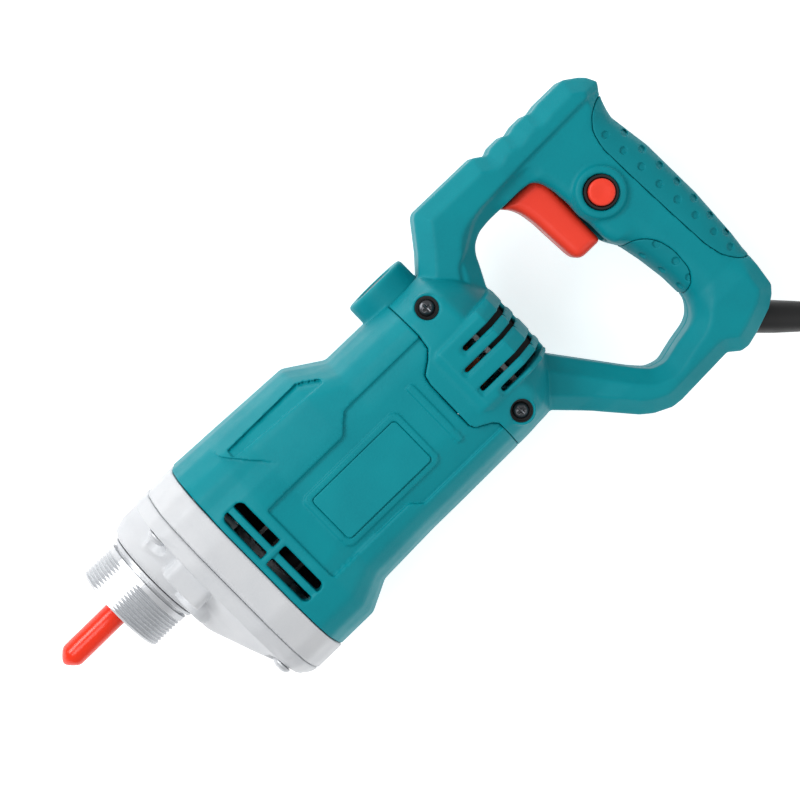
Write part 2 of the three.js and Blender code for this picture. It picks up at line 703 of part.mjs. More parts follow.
function panHeadScrew(headRadius, headHeight, length, shank) {
  const profile = [[0, 0], [0, shank], [length, shank], [length, headRadius],
    [length + headHeight * 0.6, headRadius * 0.85], [length + headHeight, headRadius * 0.5],
    [length + headHeight, 0]];
  return solid(new THREE.LatheGeometry(profile.map(([z, r]) => new THREE.Vector2(r, z)), 14)
    .rotateX(Math.PI / 2));
}

// ---- Switch, trigger and lock button ------------------------------------------------------

const TRIGGER = [[183.6, 34.8], [187, 31.6], [189.3, 27], [190.6, 20], [191.2, 10], [192, -1.5],
  [193, -4], [195.5, -5.6], [206.3, -5.6], [206.3, 29.7], [204, 34.8]];

function trigger() {
  const plunger = block([206, 213], [10, 28], [-5.5, 5.5]);
  return slab(TRIGGER, -11.5, 11.5).add(plunger);
}

function switchBody() {
  const body = block([214.2, 238.2], [-9, 31], [-9.3, 9.3]);
  return cut(body, [
    block([210, 213.4 + TRIGGER_TRAVEL], [8, 30], [-6.5, 6.5]),
    roundZ(3, 5, 20, BUTTON_AT, 16),
  ]);
}

function lockButton() {
  const points = [[0, 11], [2.3, 11], [2.3, 14.2], [6, 14.2], [6, 23.7], [5, 24.5], [0, 24.7]];
  const profile = points.map(([radius, z]) => new THREE.Vector2(radius, z));
  return solid(new THREE.LatheGeometry(profile, 24).rotateX(Math.PI / 2));
}

function buttonCollar() {
  return roundZ(7.75, 15.2, 22.4, [0, 0], 24).subtract(roundZ(6.3, 10, 30, [0, 0], 24));
}

// ---- Rear bearing bracket -----------------------------------------------------------------

function rearBracket() {
  const plate = washerX(12, 31, 134.8, 137, [0, 0], 24);
  const hub = washerX(13.7, 17, 134.8, 146, [0, 0], 24);
  const airways = Array.from({ length: 6 }, (_, i) => {
    const turn = (Math.PI * (i + 0.5)) / 3;
    return roundX(4.5, 130, 140, [24 * Math.cos(turn), 24 * Math.sin(turn)], 10);
  });
  return cut(plate.add(hub), airways);
}

// ---- Cord ---------------------------------------------------------------------------------

function cordBoot() {
  return turnedAlongExit([[-13, 0], [-13, 10], [-8, 10], [-8, 7.5], [6, 7.5], [26, 6.6],
    [BOOT_LENGTH, 5.4], [BOOT_LENGTH, 0]], 20);
}

function cordClamp() {
  const bridge = new THREE.BoxGeometry(8, 22, 4).translate(-22, 0, 8);
  return solid(alongExit(bridge));
}

// The free cord drops from its boot to the floor, turns beside the handle and meets the coil.
// Each point is how far it lies along the exit, how far to the exit's left, and its height.
const LEAD = [[BOOT_LENGTH + GAP, 0, 0], [55, 0, 0], [65, 0, -0.6], [76, 0.5, -3], [87, 2, -8],
  [98, 5, -15], [108, 10, -22.5], [117, 16.5, -29.5], [125, 24, -35.5], [132, 33, -40],
  [137.5, 43, -42.3], [141.5, 54, -43.3], [143.8, 66, -43.6], [144.6, 78, -43.7], [144.6, 90.5, -43.7]];

function fromExit([along, left, z]) {
  const [ux, uy] = CORD_HEADING;
  return new THREE.Vector3(CORD_EXIT[0] + along * ux - left * uy,
    CORD_EXIT[1] + along * uy + left * ux, z);
}

function cordTube(points, steps) {
  const section = new THREE.Shape(Array.from({ length: 8 }, (_, i) => new THREE.Vector2(
    CORD_RADIUS * Math.cos((Math.PI * i) / 4), CORD_RADIUS * Math.sin((Math.PI * i) / 4))));
  return solid(new THREE.ExtrudeGeometry(section, {
    extrudePath: new THREE.CatmullRomCurve3(points, false, 'centripetal'), steps,
  }));
}

function coilRing(spare = 0) {
  const half = (COIL_TURNS_WIDE * 2 * CORD_RADIUS) / 2 + 0.4 + spare;
  const [inner, outer] = [COIL_MIDDLE - half, COIL_MIDDLE + half];
  const [low, high] = [FLOOR_Z - spare, FLOOR_Z + 4 * CORD_RADIUS + spare];
  const corners = [[inner, low], [outer, low], [outer, high], [inner, high], [inner, low]];
  const profile = corners.map(([radius, z]) => new THREE.Vector2(radius, z));
  const ring = new THREE.LatheGeometry(profile, 32).rotateX(Math.PI / 2);
  return solid(ring.translate(...COIL_AT, 0));
}

// The cord's end leaves the top of the coil, comes down beside it and runs into the plug.
const TAIL = [[414.3, -79, -36], [414, -66, -36.4], [412.4, -54, -38], [409, -42, -40.6],
  [404.6, -31, -42.6], [399.6, -20.5, -43.4], [394.2, -10, -43.7], [388.5, 0, -43.7]];
const PLUG_AT = [388.5, 0];
const PLUG_TURN = 120; // degrees from +X to the way that the pins point

function cordTail() {
  return cordTube(TAIL.map((point) => new THREE.Vector3(...point)), 24);
}

function plug() {
  const body = new THREE.Shape([[GAP, -4.6], [14, -6], [17, -14], [22, -17.5], [33, -17.5],
    [36, -15], [36, 15], [33, 17.5], [22, 17.5], [17, 14], [14, 6], [GAP, 4.6]]
    .map(([x, y]) => new THREE.Vector2(x, y)));
  const plate = new THREE.ExtrudeGeometry(body, { depth: 13, bevelEnabled: false });
  const pins = [-9.5, 9.5].map((y) => roundX(2.2, 35, 55, [y, 6.5], 12));
  return union([solid(plate), ...pins]);
}

// ---- Assembly -----------------------------------------------------------------------------

function group(name, at, meshes) {
  const set = new THREE.Group();
  set.name = name;
  set.position.set(...at);
  set.add(...meshes);
  return set;
}

const gearHead = group('gear_head', [0, 0, 0], [
  piece('gear_case', gearCase(), CAST_ALUMINIUM),
  piece('gear_cover', gearCover(), CAST_ALUMINIUM),
  ...SCREW_PLACES.map(([y, z], i) => {
    const screw = piece(`cover_screw_${i + 1}`, coverScrew(), STEEL);
    screw.position.set(PAD_X - 3.2 - GAP, y, z);
    return screw;
  }),
]);

const spindleLine = group('spindle_line', [0, SPINDLE_Y, 0], [
  piece('coupling_nose', couplingNose(), STEEL),
  piece('spindle', spindle(), STEEL),
  piece('spindle_gear', spindleGear(), STEEL),
  piece('spindle_cap', spindleCap(), RED_VINYL),
  piece('spindle_seal', washerX(5.3, 9.9, -44, -38.3, [0, 0], 18), BLACK_RUBBER),
  piece('spindle_bearing_front', washerX(5.3, 13, -36.6, -28.8, [0, 0], 18), STEEL),
  piece('spindle_bearing_rear', washerX(4.3, 11, -14.2, -7, [0, 0], 18), STEEL),
]);

const motorLine = group('motor_line', [0, MOTOR_Y, 0], [
  piece('armature_shaft', armatureShaft(), STEEL),
  piece('armature_core', slottedCore(), LAMINATION),
  piece('armature_winding_front', winding(33, 47.7), COPPER),
  piece('armature_winding_rear', winding(90.3, 104), COPPER),
  piece('commutator', washerX(5.3, 14, 110, 131, [0, 0], 18), COPPER),
  piece('cooling_fan', coolingFan(), BLACK_PLASTIC),
  piece('armature_bearing_front', washerX(5.3, 13, -4, 4, [0, 0], 18), STEEL),
  piece('armature_bearing_rear', washerX(4.3, 11, 138, 144.6, [0, 0], 18), STEEL),
  piece('rear_bearing_sleeve', washerX(11.3, 13.4, 137.4, 145.4, [0, 0], 18), BLACK_RUBBER),
  piece('rear_bracket', rearBracket(), CAST_ALUMINIUM),
  piece('stator_core', statorCore(), LAMINATION),
  piece('field_coil_upper', fieldCoil(0), COPPER),
  piece('field_coil_lower', fieldCoil(180), COPPER),
]);

const fanBaffle = piece('fan_baffle', washerX(28, 43.2, 20.5, 22.5, [MOTOR_Y + 1.5, 0], 36),
  BLACK_PLASTIC);

const SPRING_RADIUS = 2.5;
const brushGear = group('brush_gear', [BRUSH_X, 0, 0], [
  piece('brush_holder_upper', brushHolder(14, 44.2), BRASS),
  piece('brush_holder_lower', brushHolder(-39.9, -19), BRASS),
  piece('carbon_brush_upper', block([-3, 3], [11.8, 29], [-4.5, 4.5]), CARBON),
  piece('carbon_brush_lower', block([-3, 3], [-32, -16.8], [-4.5, 4.5]), CARBON),
  piece('brush_spring_upper', helix(SPRING_RADIUS, 0.4, 30, 43.7, 4), STEEL),
  piece('brush_spring_lower', helix(SPRING_RADIUS, 0.4, -39.4, -33, 3), STEEL),
  piece('brush_cap_upper', brushCap(9.6, 4.4), BLACK_PLASTIC),
  piece('brush_cap_lower', brushCap(8.2, 3.6), BLACK_PLASTIC),
]);
const [upperCap, lowerCap] = brushGear.children.slice(-2);
upperCap.position.y = 45;
lowerCap.position.y = -40.6;
lowerCap.rotation.x = Math.PI;

const handle = group('handle', [0, 0, 0], [
  piece('handle_shell_left', handleShell(1), TEAL_PLASTIC),
  piece('handle_shell_right', handleShell(-1), TEAL_PLASTIC),
  piece('grip_pad_back_left', gripPad(BACK_PAD, 1), TEAL_RUBBER),
  piece('grip_pad_back_right', gripPad(BACK_PAD, -1), TEAL_RUBBER),
  piece('grip_pad_front_left', gripPad(FRONT_PAD, 1), TEAL_RUBBER),
  piece('grip_pad_front_right', gripPad(FRONT_PAD, -1), TEAL_RUBBER),
]);

function handleScrew(name, [x, y], side, base, length) {
  const screw = piece(name, panHeadScrew(4.4, 2.8, length, 1.9), STEEL);
  screw.position.set(x, y, side * base);
  screw.rotation.x = side > 0 ? 0 : Math.PI;
  return screw;
}

const handleScrews = group('handle_screws', [0, 0, 0], [
  ...EARS.map((at, i) => handleScrew(`ear_screw_left_${i + 1}`, at, 1, 16, 20.3)),
  ...EARS.map((at, i) => handleScrew(`ear_screw_right_${i + 1}`, at, -1, 16, 20.3)),
]);

RIGHT_SCREWS.forEach((at, i) => {
  const screw = piece(`shell_screw_${i + 1}`, panHeadScrew(4.2, 2.6, 25, 1.5), STEEL);
  screw.position.set(...at, 10.7);
  screw.rotation.x = Math.PI;
  handleScrews.add(screw);
});

const controls = group('controls', [0, 0, 0], [
  piece('trigger', trigger(), RED_PLASTIC),
  piece('switch_body', switchBody(), BLACK_PLASTIC),
]);
const lock = group('lock', [...BUTTON_AT, 0], [
  piece('lock_button', lockButton(), RED_PLASTIC),
  piece('lock_button_collar', buttonCollar(), BLACK_PLASTIC),
]);
const lockSpring = piece('lock_button_spring', helix(3.6, 0.4, 0, 3.3, 2), STEEL);
lockSpring.rotation.x = Math.PI / 2;
lockSpring.position.z = 10.1;
lock.add(lockSpring);

const coil = coilRing();
const roomForCoil = coilRing(GAP);
const cord = group('cord', [0, 0, 0], [
  piece('cord_boot', cordBoot(), BLACK_RUBBER),
  piece('cord_clamp', cordClamp(), BLACK_PLASTIC),
  piece('power_cord', cordTube(LEAD.map(fromExit), 44).subtract(roomForCoil), BLACK_RUBBER),
  piece('cord_coil', coil, BLACK_RUBBER),
  piece('cord_tail', cordTail().subtract(roomForCoil), BLACK_RUBBER),
]);
const mainsPlug = piece('mains_plug', plug(), BLACK_RUBBER);
mainsPlug.position.set(...PLUG_AT, FLOOR_Z);
mainsPlug.rotation.z = THREE.MathUtils.degToRad(PLUG_TURN);
cord.add(mainsPlug);

const tool = new THREE.Group();
tool.add(piece('motor_housing', motorHousing(), TEAL_PLASTIC));
tool.add(piece('rating_plate', ratingPlate(1), TEAL_PLASTIC));
tool.add(fanBaffle, gearHead, spindleLine, motorLine, brushGear, handle, handleScrews);
tool.add(controls, lock, cord);

// The tool's middle in X and Y, without the cord, comes to the origin, and its right side to Z = 0.
const X_MIDDLE = (-95 + 253) / 2;
const Y_MIDDLE = (-85 + 60.3) / 2;
tool.position.set(-X_MIDDLE, -Y_MIDDLE, HALF_WIDTH);

const vibrator = new THREE.Group();
vibrator.add(tool);

export default vibrator;
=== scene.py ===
# %% [markdown]
# # A concrete vibrator's motor unit
# The tool drives a long flexible shaft that shakes wet concrete. It has a teal moulded housing,
# a D-handle in two halves, a cast gear head and a threaded nose with a red cap over its spindle.
# The solid model is loaded first. It fixes every size, and each finished piece rides on it.

# %% Load the solid model
import json
import math

import bmesh
import bpy
import numpy as np
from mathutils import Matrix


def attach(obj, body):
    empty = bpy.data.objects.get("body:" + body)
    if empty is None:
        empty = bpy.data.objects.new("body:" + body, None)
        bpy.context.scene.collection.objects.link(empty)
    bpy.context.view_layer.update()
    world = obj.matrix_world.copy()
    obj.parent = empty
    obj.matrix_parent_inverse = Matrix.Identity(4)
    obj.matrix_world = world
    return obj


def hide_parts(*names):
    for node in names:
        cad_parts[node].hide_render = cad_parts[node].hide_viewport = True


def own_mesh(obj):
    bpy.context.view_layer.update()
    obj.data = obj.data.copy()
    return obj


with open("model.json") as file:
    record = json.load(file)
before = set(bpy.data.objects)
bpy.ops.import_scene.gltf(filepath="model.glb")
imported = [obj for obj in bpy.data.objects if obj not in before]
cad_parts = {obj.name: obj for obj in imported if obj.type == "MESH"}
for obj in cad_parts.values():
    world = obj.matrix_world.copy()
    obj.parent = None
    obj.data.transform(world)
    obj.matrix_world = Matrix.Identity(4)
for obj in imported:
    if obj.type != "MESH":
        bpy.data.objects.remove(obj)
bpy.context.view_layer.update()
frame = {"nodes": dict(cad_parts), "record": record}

import openvdb
from mathutils import Matrix, Vector

nodes = frame["nodes"]

# %% [markdown]
# ## One set of axes for the maker
# It is easier to think about a tool along its own axes: X from the nose to the handle, Y towards
# its upper side and Z towards its left side, in millimetres. The model has the tool lying on its
# right side with its middle at the origin, so one shift and one scale turn the first into the
# second.

# %% From the tool's millimetres to the model's metres
MIDDLE_HEIGHT = 48.0  # the tool lies on its side, with its middle this far above the floor
SHIFT = np.array([-79.0, 12.35, MIDDLE_HEIGHT])


def place(points):
    """Tool millimetres to model metres."""
    return (np.asarray(points, float).reshape(-1, 3) + SHIFT) / 1000.0


def spot(x, y, z):
    """The same for one point."""
    return tuple(place([x, y, z])[0])


print("the tool's own origin is at", np.round(spot(0, 0, 0), 4))

# %% [markdown]
# ## Camera
# The tool is seen from straight above its left side, leaning a little towards its upper side, and
# rolled so that it runs up to the right. A camera's matrix is just three directions and a place,
# so it is written from them and no angles have to be combined. The long lens, used from 1.2 m,
# keeps the tool's far and near ends the same size.

# %% Camera
TILT = math.radians(5.0)
ROLL = math.radians(44.2)
CAMERA_DISTANCE = 1.2
camera_data = bpy.data.cameras.new("Camera")
camera_data.sensor_width = 36.0
camera_data.lens = 121.5
camera_data.clip_end = 20.0
camera = bpy.data.objects.new("Camera", camera_data)
bpy.context.scene.collection.objects.link(camera)
bpy.context.scene.camera = camera

toward = np.array([0.0, math.sin(TILT), math.cos(TILT)])
lift = np.array([0.0, math.cos(TILT), -math.sin(TILT)])
along = np.array([1.0, 0.0, 0.0])
right = math.cos(ROLL) * along - math.sin(ROLL) * lift
up = math.sin(ROLL) * along + math.cos(ROLL) * lift
target = np.array(spot(93.5, 4.8, 0.0))
position = target + CAMERA_DISTANCE * toward
camera.matrix_world = Matrix([
    [right[0], up[0], toward[0], position[0]],
    [right[1], up[1], toward[1], position[1]],
    [right[2], up[2], toward[2], position[2]],
    [0, 0, 0, 1]])
print("camera at", np.round(position, 3))

# %% [markdown]
# ## The power cord
# A cord is a fixed length of something flexible. It leaves the strain relief straight, falls to
# the floor in a soft curve, and the rest is wound into a flat coil beside the tool with the plug
# next to it. It could be a swept mesh, but a curve with a round bevel keeps one thickness all the
# way and can be measured, so the cord stays a curve. Its points are the middle of the cord.

# %% The cord's route
CORD_RADIUS = 4.0
CORD_EXIT = (235.0, -81.0)
CORD_HEADING = (0.717, -0.697)
BOOT_LENGTH = 45.0
COIL_AT = (362.0, -79.0)
FLOOR = -44.0  # the cord's middle when it lies on the floor
COIL_RADII = [52.2, 44.0, 35.8, 35.8, 44.0, 52.2]
COIL_START, COIL_END = -43.6, 1800.0  # in degrees, six turns in all
MOVE_OVER = 75.0  # the last stretch of each turn, where it moves over to the next radius
LAYER = 8.0  # how far the upper layer lies above the lower one

LEAD = [[BOOT_LENGTH + 0.3, 0, 0], [55, 0, 0], [65, 0, -0.6], [76, 0.5, -3], [87, 2, -8],
        [98, 5, -15], [108, 10, -22.5], [117, 16.5, -29.5], [125, 24, -35.5], [132, 33, -40],
        [137.5, 43, -42.3], [141.5, 54, -43.3], [143.8, 66, -43.6], [144.6, 78, -43.7],
        [144.6, 90.5, -43.7]]
TAIL = [[414, -66, -36.4], [412.4, -54, -38], [409, -42, -40.6], [404.6, -31, -42.6],
        [399.6, -20.5, -43.4], [394.2, -10, -43.7], [388.5, 0, -43.7]]


def from_exit(s, left, z):
    """A point that lies s along the cord's heading from the handle, and to its left."""
    ux, uy = CORD_HEADING
    return [CORD_EXIT[0] + s * ux - left * uy, CORD_EXIT[1] + s * uy + left * ux, z]


def ease(t):
    """Goes from 0 to 1 with no corner at either end."""
    t = min(max(t, 0.0), 1.0)
    return t * t * (3 - 2 * t)


def coil_points():
    """Three turns inwards on the floor, then three outwards on top of them."""
    turn, points = 360.0, []
    for a in np.arange(COIL_START + 14, COIL_END - 6, 12.0):
        passed = a - COIL_START
        k = int(passed // turn)
        # Each turn moves over in its last stretch, so the turns lie side by side.
        shift = ease((passed % turn - turn + MOVE_OVER) / MOVE_OVER)
        r = COIL_RADII[k] + (COIL_RADII[min(k + 1, 5)] - COIL_RADII[k]) * shift
        climb = ease((passed - 3 * turn + 70) / 90.0)
        z = FLOOR + 0.1 + LAYER * climb
        points.append([COIL_AT[0] + r * math.cos(math.radians(a)),
                       COIL_AT[1] + r * math.sin(math.radians(a)), z])
    return points


# %% The cord itself
route = [from_exit(*p) for p in LEAD] + coil_points() + TAIL
route_m = place(route)
cord_curve = bpy.data.curves.new("power_cord_full", "CURVE")
cord_curve.dimensions = "3D"
cord_curve.bevel_depth = CORD_RADIUS / 1000
cord_curve.bevel_resolution = 3
cord_curve.resolution_u = 4
cord_curve.use_fill_caps = True
spline = cord_curve.splines.new("NURBS")
spline.points.add(len(route_m) - 1)
for point, co in zip(spline.points, route_m):
    point.co = (*co, 1.0)
spline.use_endpoint_u = True
spline.order_u = 3
power_cord = bpy.data.objects.new("power_cord_full", cord_curve)
bpy.context.scene.collection.objects.link(power_cord)

# %% [markdown]
# ## Colours and surfaces
# Nothing real has one flat colour. Moulded plastic has a fine grain and slightly uneven gloss,
# a casting is mottled, and turned steel carries rings. One node group makes the uneven tone,
# gloss and height from object coordinates, and each material gives it its own numbers.

# %% Small helpers for shader nodes


def new_group(name, inputs, outputs):
    """An empty node group with its named sockets, and its input and output nodes."""
    group = bpy.data.node_groups.new(name, "ShaderNodeTree")
    for label, kind, value in inputs:
        socket = group.interface.new_socket(name=label, in_out="INPUT", socket_type=kind)
        if value is not None:
            socket.default_value = value
    for label, kind in outputs:
        group.interface.new_socket(name=label, in_out="OUTPUT", socket_type=kind)
    return group, group.nodes.new("NodeGroupInput"), group.nodes.new("NodeGroupOutput")


def feed(group, node, socket, value):
    """Gives a socket a plain number, or the result of another node."""
    if isinstance(value, (int, float)):
        node.inputs[socket].default_value = value
    else:
        group.links.new(value, node.inputs[socket])


def noise(group, vector, scale, detail):
    """Soft random blotches, between about 0.3 and 0.7."""
    node = group.nodes.new("ShaderNodeTexNoise")
    node.inputs["Roughness"].default_value = 0.55
    for socket, value in (("Vector", vector), ("Scale", scale), ("Detail", detail)):
        feed(group, node, socket, value)
    return node.outputs["Fac"]


def spread(group, value, low, high):
    """Stretches noise so that it runs from low to high."""
    node = group.nodes.new("ShaderNodeMapRange")
    for socket, number in (("Value", value), ("From Min", 0.3), ("From Max", 0.7),
                           ("To Min", low), ("To Max", high)):
        feed(group, node, socket, number)
    return node.outputs["Result"]


def arithmetic(group, kind, a, b):
    node = group.nodes.new("ShaderNodeMath")
    node.operation = kind
    feed(group, node, 0, a)
    feed(group, node, 1, b)
    return node.outputs["Value"]


# %% The two shared groups


def build_surface_group():
    """Uneven tone, gloss and height: fine grain, wide patches and a few darker specks."""
    group, source, sink = new_group("Uneven surface", [
        ("Vector", "NodeSocketVector", None),
        ("Colour", "NodeSocketColor", (0.5, 0.5, 0.5, 1)),
        ("Second colour", "NodeSocketColor", (0.4, 0.4, 0.4, 1)),
        ("Gloss low", "NodeSocketFloat", 0.4),
        ("Gloss high", "NodeSocketFloat", 0.5),
        ("Grain scale", "NodeSocketFloat", 2500.0),
        ("Patch scale", "NodeSocketFloat", 45.0)],
        [("Colour", "NodeSocketColor"), ("Gloss", "NodeSocketFloat"),
         ("Height", "NodeSocketFloat")])
    vector = source.outputs["Vector"]
    grain = noise(group, vector, source.outputs["Grain scale"], 2.0)
    patches = noise(group, vector, source.outputs["Patch scale"], 4.0)
    specks = noise(group, vector, arithmetic(
        group, "MULTIPLY", source.outputs["Grain scale"], 0.31), 3.0)
    blend = group.nodes.new("ShaderNodeMix")
    blend.data_type = "RGBA"
    amount = arithmetic(group, "MULTIPLY", spread(group, patches, 0.0, 1.0),
                        spread(group, grain, 0.55, 1.0))
    group.links.new(amount, blend.inputs["Factor"])
    group.links.new(source.outputs["Colour"], blend.inputs[6])
    group.links.new(source.outputs["Second colour"], blend.inputs[7])
    group.links.new(blend.outputs[2], sink.inputs["Colour"])
    wide = spread(group, patches, source.outputs["Gloss low"], source.outputs["Gloss high"])
    fine = arithmetic(group, "MULTIPLY", spread(group, specks, -1.0, 1.0), 0.035)
    group.links.new(arithmetic(group, "ADD", wide, fine), sink.inputs["Gloss"])
    height = arithmetic(group, "ADD", arithmetic(group, "MULTIPLY", grain, 0.7),
                        arithmetic(group, "MULTIPLY", specks, 0.3))
    group.links.new(height, sink.inputs["Height"])
    return group


def build_streak_group():
    """Fine tool marks: noise stretched hard along one axis."""
    group, source, sink = new_group("Tool marks", [
        ("Vector", "NodeSocketVector", None),
        ("Across", "NodeSocketFloat", 2600.0),
        ("Along", "NodeSocketFloat", 60.0)], [("Marks", "NodeSocketFloat")])
    parts = group.nodes.new("ShaderNodeSeparateXYZ")
    group.links.new(source.outputs["Vector"], parts.inputs[0])
    whole = group.nodes.new("ShaderNodeCombineXYZ")
    for axis, scale in (("X", "Across"), ("Y", "Along"), ("Z", "Along")):
        group.links.new(arithmetic(group, "MULTIPLY", parts.outputs[axis],
                                   source.outputs[scale]), whole.inputs[axis])
    group.links.new(noise(group, whole.outputs[0], 1.0, 3.0), sink.inputs["Marks"])
    return group


SURFACE = build_surface_group()
STREAKS = build_streak_group()
for group in (SURFACE, STREAKS):
    print(group.name, "has", len(group.nodes), "nodes")

# %% [markdown]
# ## One recipe for every material
# Each finish is the same Principled shader with the groups plugged in. What is the same all over a
# surface, such as how metallic it is or how thick its lacquer is, is set on the shader itself.
# Colours are written as a screen shows them and turned into the linear light Blender works in.

# %% The recipe


def srgb(*levels):
    """A screen colour, 0 to 255, as linear light."""
    return tuple(((v / 255) / 12.92 if v <= 10 else (((v / 255) + 0.055) / 1.055) ** 2.4)
                 for v in levels) + (1.0,)


def make_material(name, colour, second, gloss, metallic=0.0, grain=2500.0, patch=45.0,
                  bump=0.1, depth=0.00005, streaks=None, coat=0.0, specular=0.5):
    material = bpy.data.materials.new(name)
    material.use_nodes = True
    tree = material.node_tree
    shader = tree.nodes["Principled BSDF"]
    for socket, value in (("Metallic", metallic), ("Coat Weight", coat),
                          ("Coat Roughness", 0.2), ("Specular IOR Level", specular)):
        shader.inputs[socket].default_value = value
    where = tree.nodes.new("ShaderNodeTexCoord")
    uneven = tree.nodes.new("ShaderNodeGroup")
    uneven.node_tree = SURFACE
    tree.links.new(where.outputs["Object"], uneven.inputs["Vector"])
    for socket, value in (("Colour", colour), ("Second colour", second),
                          ("Gloss low", gloss[0]), ("Gloss high", gloss[1]),
                          ("Grain scale", grain), ("Patch scale", patch)):
        uneven.inputs[socket].default_value = value
    tree.links.new(uneven.outputs["Colour"], shader.inputs["Base Color"])
    tree.links.new(uneven.outputs["Gloss"], shader.inputs["Roughness"])
    height = uneven.outputs["Height"]
    if streaks:
        marks = tree.nodes.new("ShaderNodeGroup")
        marks.node_tree = STREAKS
        tree.links.new(where.outputs["Object"], marks.inputs["Vector"])
        marks.inputs["Across"].default_value, marks.inputs["Along"].default_value = streaks
        height = arithmetic(tree, "ADD", height, marks.outputs["Marks"])
    bumps = tree.nodes.new("ShaderNodeBump")
    bumps.inputs["Strength"].default_value = bump
    bumps.inputs["Distance"].default_value = depth
    tree.links.new(height, bumps.inputs["Height"])
    tree.links.new(bumps.outputs["Normal"], shader.inputs["Normal"])
    return material


# %% [markdown]
# ## The finishes
# Teal plastic with a fine spark-eroded grain for the housing, the same colour softer and duller for
# the grips, red plastic, glossy red vinyl, black plastic and rubber, cast aluminium, and the metals
# inside. Each has two close colours, so no surface is perfectly even.

# %% The finishes
LOOKS = {
    "teal_plastic": make_material("Teal moulded plastic", srgb(0, 144, 155), srgb(0, 135, 147),
                                  (0.44, 0.54), grain=1000.0, bump=0.6,
                                  depth=0.00013, specular=0.18),
    "teal_rubber": make_material("Teal soft grip", srgb(0, 137, 148), srgb(0, 128, 139),
                                 (0.55, 0.66), grain=1300.0, bump=0.5, specular=0.2),
    "red_plastic": make_material("Red moulded plastic", srgb(255, 70, 48), srgb(246, 58, 38),
                                 (0.34, 0.46), grain=1800.0, bump=0.25, specular=0.35),
    "red_vinyl": make_material("Red dipped vinyl", srgb(255, 52, 14), srgb(246, 44, 10),
                               (0.18, 0.3), grain=500.0, bump=0.3, coat=0.35, specular=0.3),
    "black_plastic": make_material("Black moulded plastic", srgb(22, 22, 23), srgb(30, 30, 31),
                                   (0.35, 0.5), grain=2400.0, bump=0.3),
    "black_rubber": make_material("Black cord rubber", srgb(20, 20, 21), srgb(28, 28, 29),
                                  (0.36, 0.5), grain=1600.0, bump=0.3),
    "cast_aluminium": make_material("Cast aluminium", srgb(214, 216, 219), srgb(205, 208, 212),
                                    (0.46, 0.56), metallic=0.1, specular=0.35, grain=1300.0,
                                    patch=60.0, bump=0.6, depth=0.00012),
    "steel": make_material("Machined steel", srgb(214, 216, 219), srgb(196, 199, 203),
                           (0.36, 0.46), metallic=0.5, grain=1800.0, bump=0.25,
                           streaks=(3000.0, 50.0)),
    "black_steel": make_material("Blackened screw steel", srgb(96, 99, 103), srgb(70, 72, 76),
                                 (0.24, 0.34), metallic=0.85, grain=1800.0, bump=0.2),
    "lamination": make_material("Stacked laminations", srgb(96, 98, 102), srgb(70, 72, 76),
                                (0.4, 0.55), metallic=0.9, streaks=(2000.0, 8.0), bump=0.6),
    "copper": make_material("Enamelled copper", srgb(186, 102, 58), srgb(140, 70, 38),
                            (0.25, 0.4), metallic=0.9, grain=1200.0, bump=0.6,
                            streaks=(1600.0, 30.0), coat=0.4),
    "brass": make_material("Brass", srgb(206, 168, 84), srgb(186, 148, 70), (0.25, 0.38),
                           metallic=1.0, streaks=(60.0, 1500.0)),
    "carbon": make_material("Carbon brush", srgb(38, 38, 40), srgb(54, 54, 56), (0.5, 0.65),
                            metallic=0.2, grain=1400.0, bump=0.5),
}

# The solid model's own pieces take these finishes wherever they stay on show.
for part in frame["record"]["subparts"]:
    mesh = nodes[part["node"]].data
    mesh.materials.clear()
    mesh.materials.append(LOOKS[part["material_slot"]])
print("materials", len(LOOKS))

# %% [markdown]
# ## Shapes from distance fields
# The housing and the handle are soft-edged plastic mouldings, with every corner rounded and every
# rib blended into the wall. A distance field suits that: each point in a grid of cells holds how
# far it is from the surface, joining two shapes is a minimum, cutting is a maximum, and a smooth
# minimum makes the fillet. The surface is then drawn where the distance is nought.

# %% Grids and outlines


def cell_size(fine):
    """How far apart a grid's points are, in millimetres."""
    return fine


STEP = cell_size(0.75)
FINE = cell_size(0.6)
print("cells of", STEP, "mm for large pieces and", FINE, "mm for the cover")


def grid(x, y, z, step):
    """Axes of a block of cells, as three arrays that broadcast together."""
    axes = [np.arange(a, b + step, step, dtype=np.float32) for a, b in (x, y, z)]
    return (axes[0][:, None, None], axes[1][None, :, None], axes[2][None, None, :])


def outline(corners, u, v):
    """Distance to a closed outline in the plane, negative inside it."""
    u, v = np.broadcast_arrays(u, v)
    nearest = np.full(u.shape, 1e9, np.float32)
    inside = np.zeros(u.shape, bool)
    points = np.asarray(corners, np.float32)
    for (ax, ay), (bx, by) in zip(points, np.roll(points, -1, 0)):
        ex, ey = bx - ax, by - ay
        wx, wy = u - ax, v - ay
        t = np.clip((wx * ex + wy * ey) / (ex * ex + ey * ey + 1e-12), 0, 1)
        nearest = np.minimum(nearest, (wx - ex * t) ** 2 + (wy - ey * t) ** 2)
        crossing = (ay <= v) != (by <= v)
        inside ^= crossing & (u < ex * (v - ay) / (ey if abs(ey) > 1e-9 else 1e-9) + ax)
    return np.where(inside, -1, 1) * np.sqrt(nearest)


def soften(corners, radius, steps=5):
    """Swaps each corner of a closed outline for a short curve that starts radius before it."""
    points = np.asarray(corners, float)
    curved = []
    for before, corner, after in zip(np.roll(points, 1, 0), points, np.roll(points, -1, 0)):
        sides = []
        for other in (before, after):
            way = other - corner
            length = np.linalg.norm(way)
            sides.append(corner + way / length * min(radius, 0.45 * length))
        for t in np.linspace(0, 1, steps):
            curved.append((1 - t) ** 2 * sides[0] + 2 * t * (1 - t) * corner + t * t * sides[1])
    return np.array(curved)


# %% Joining and cutting


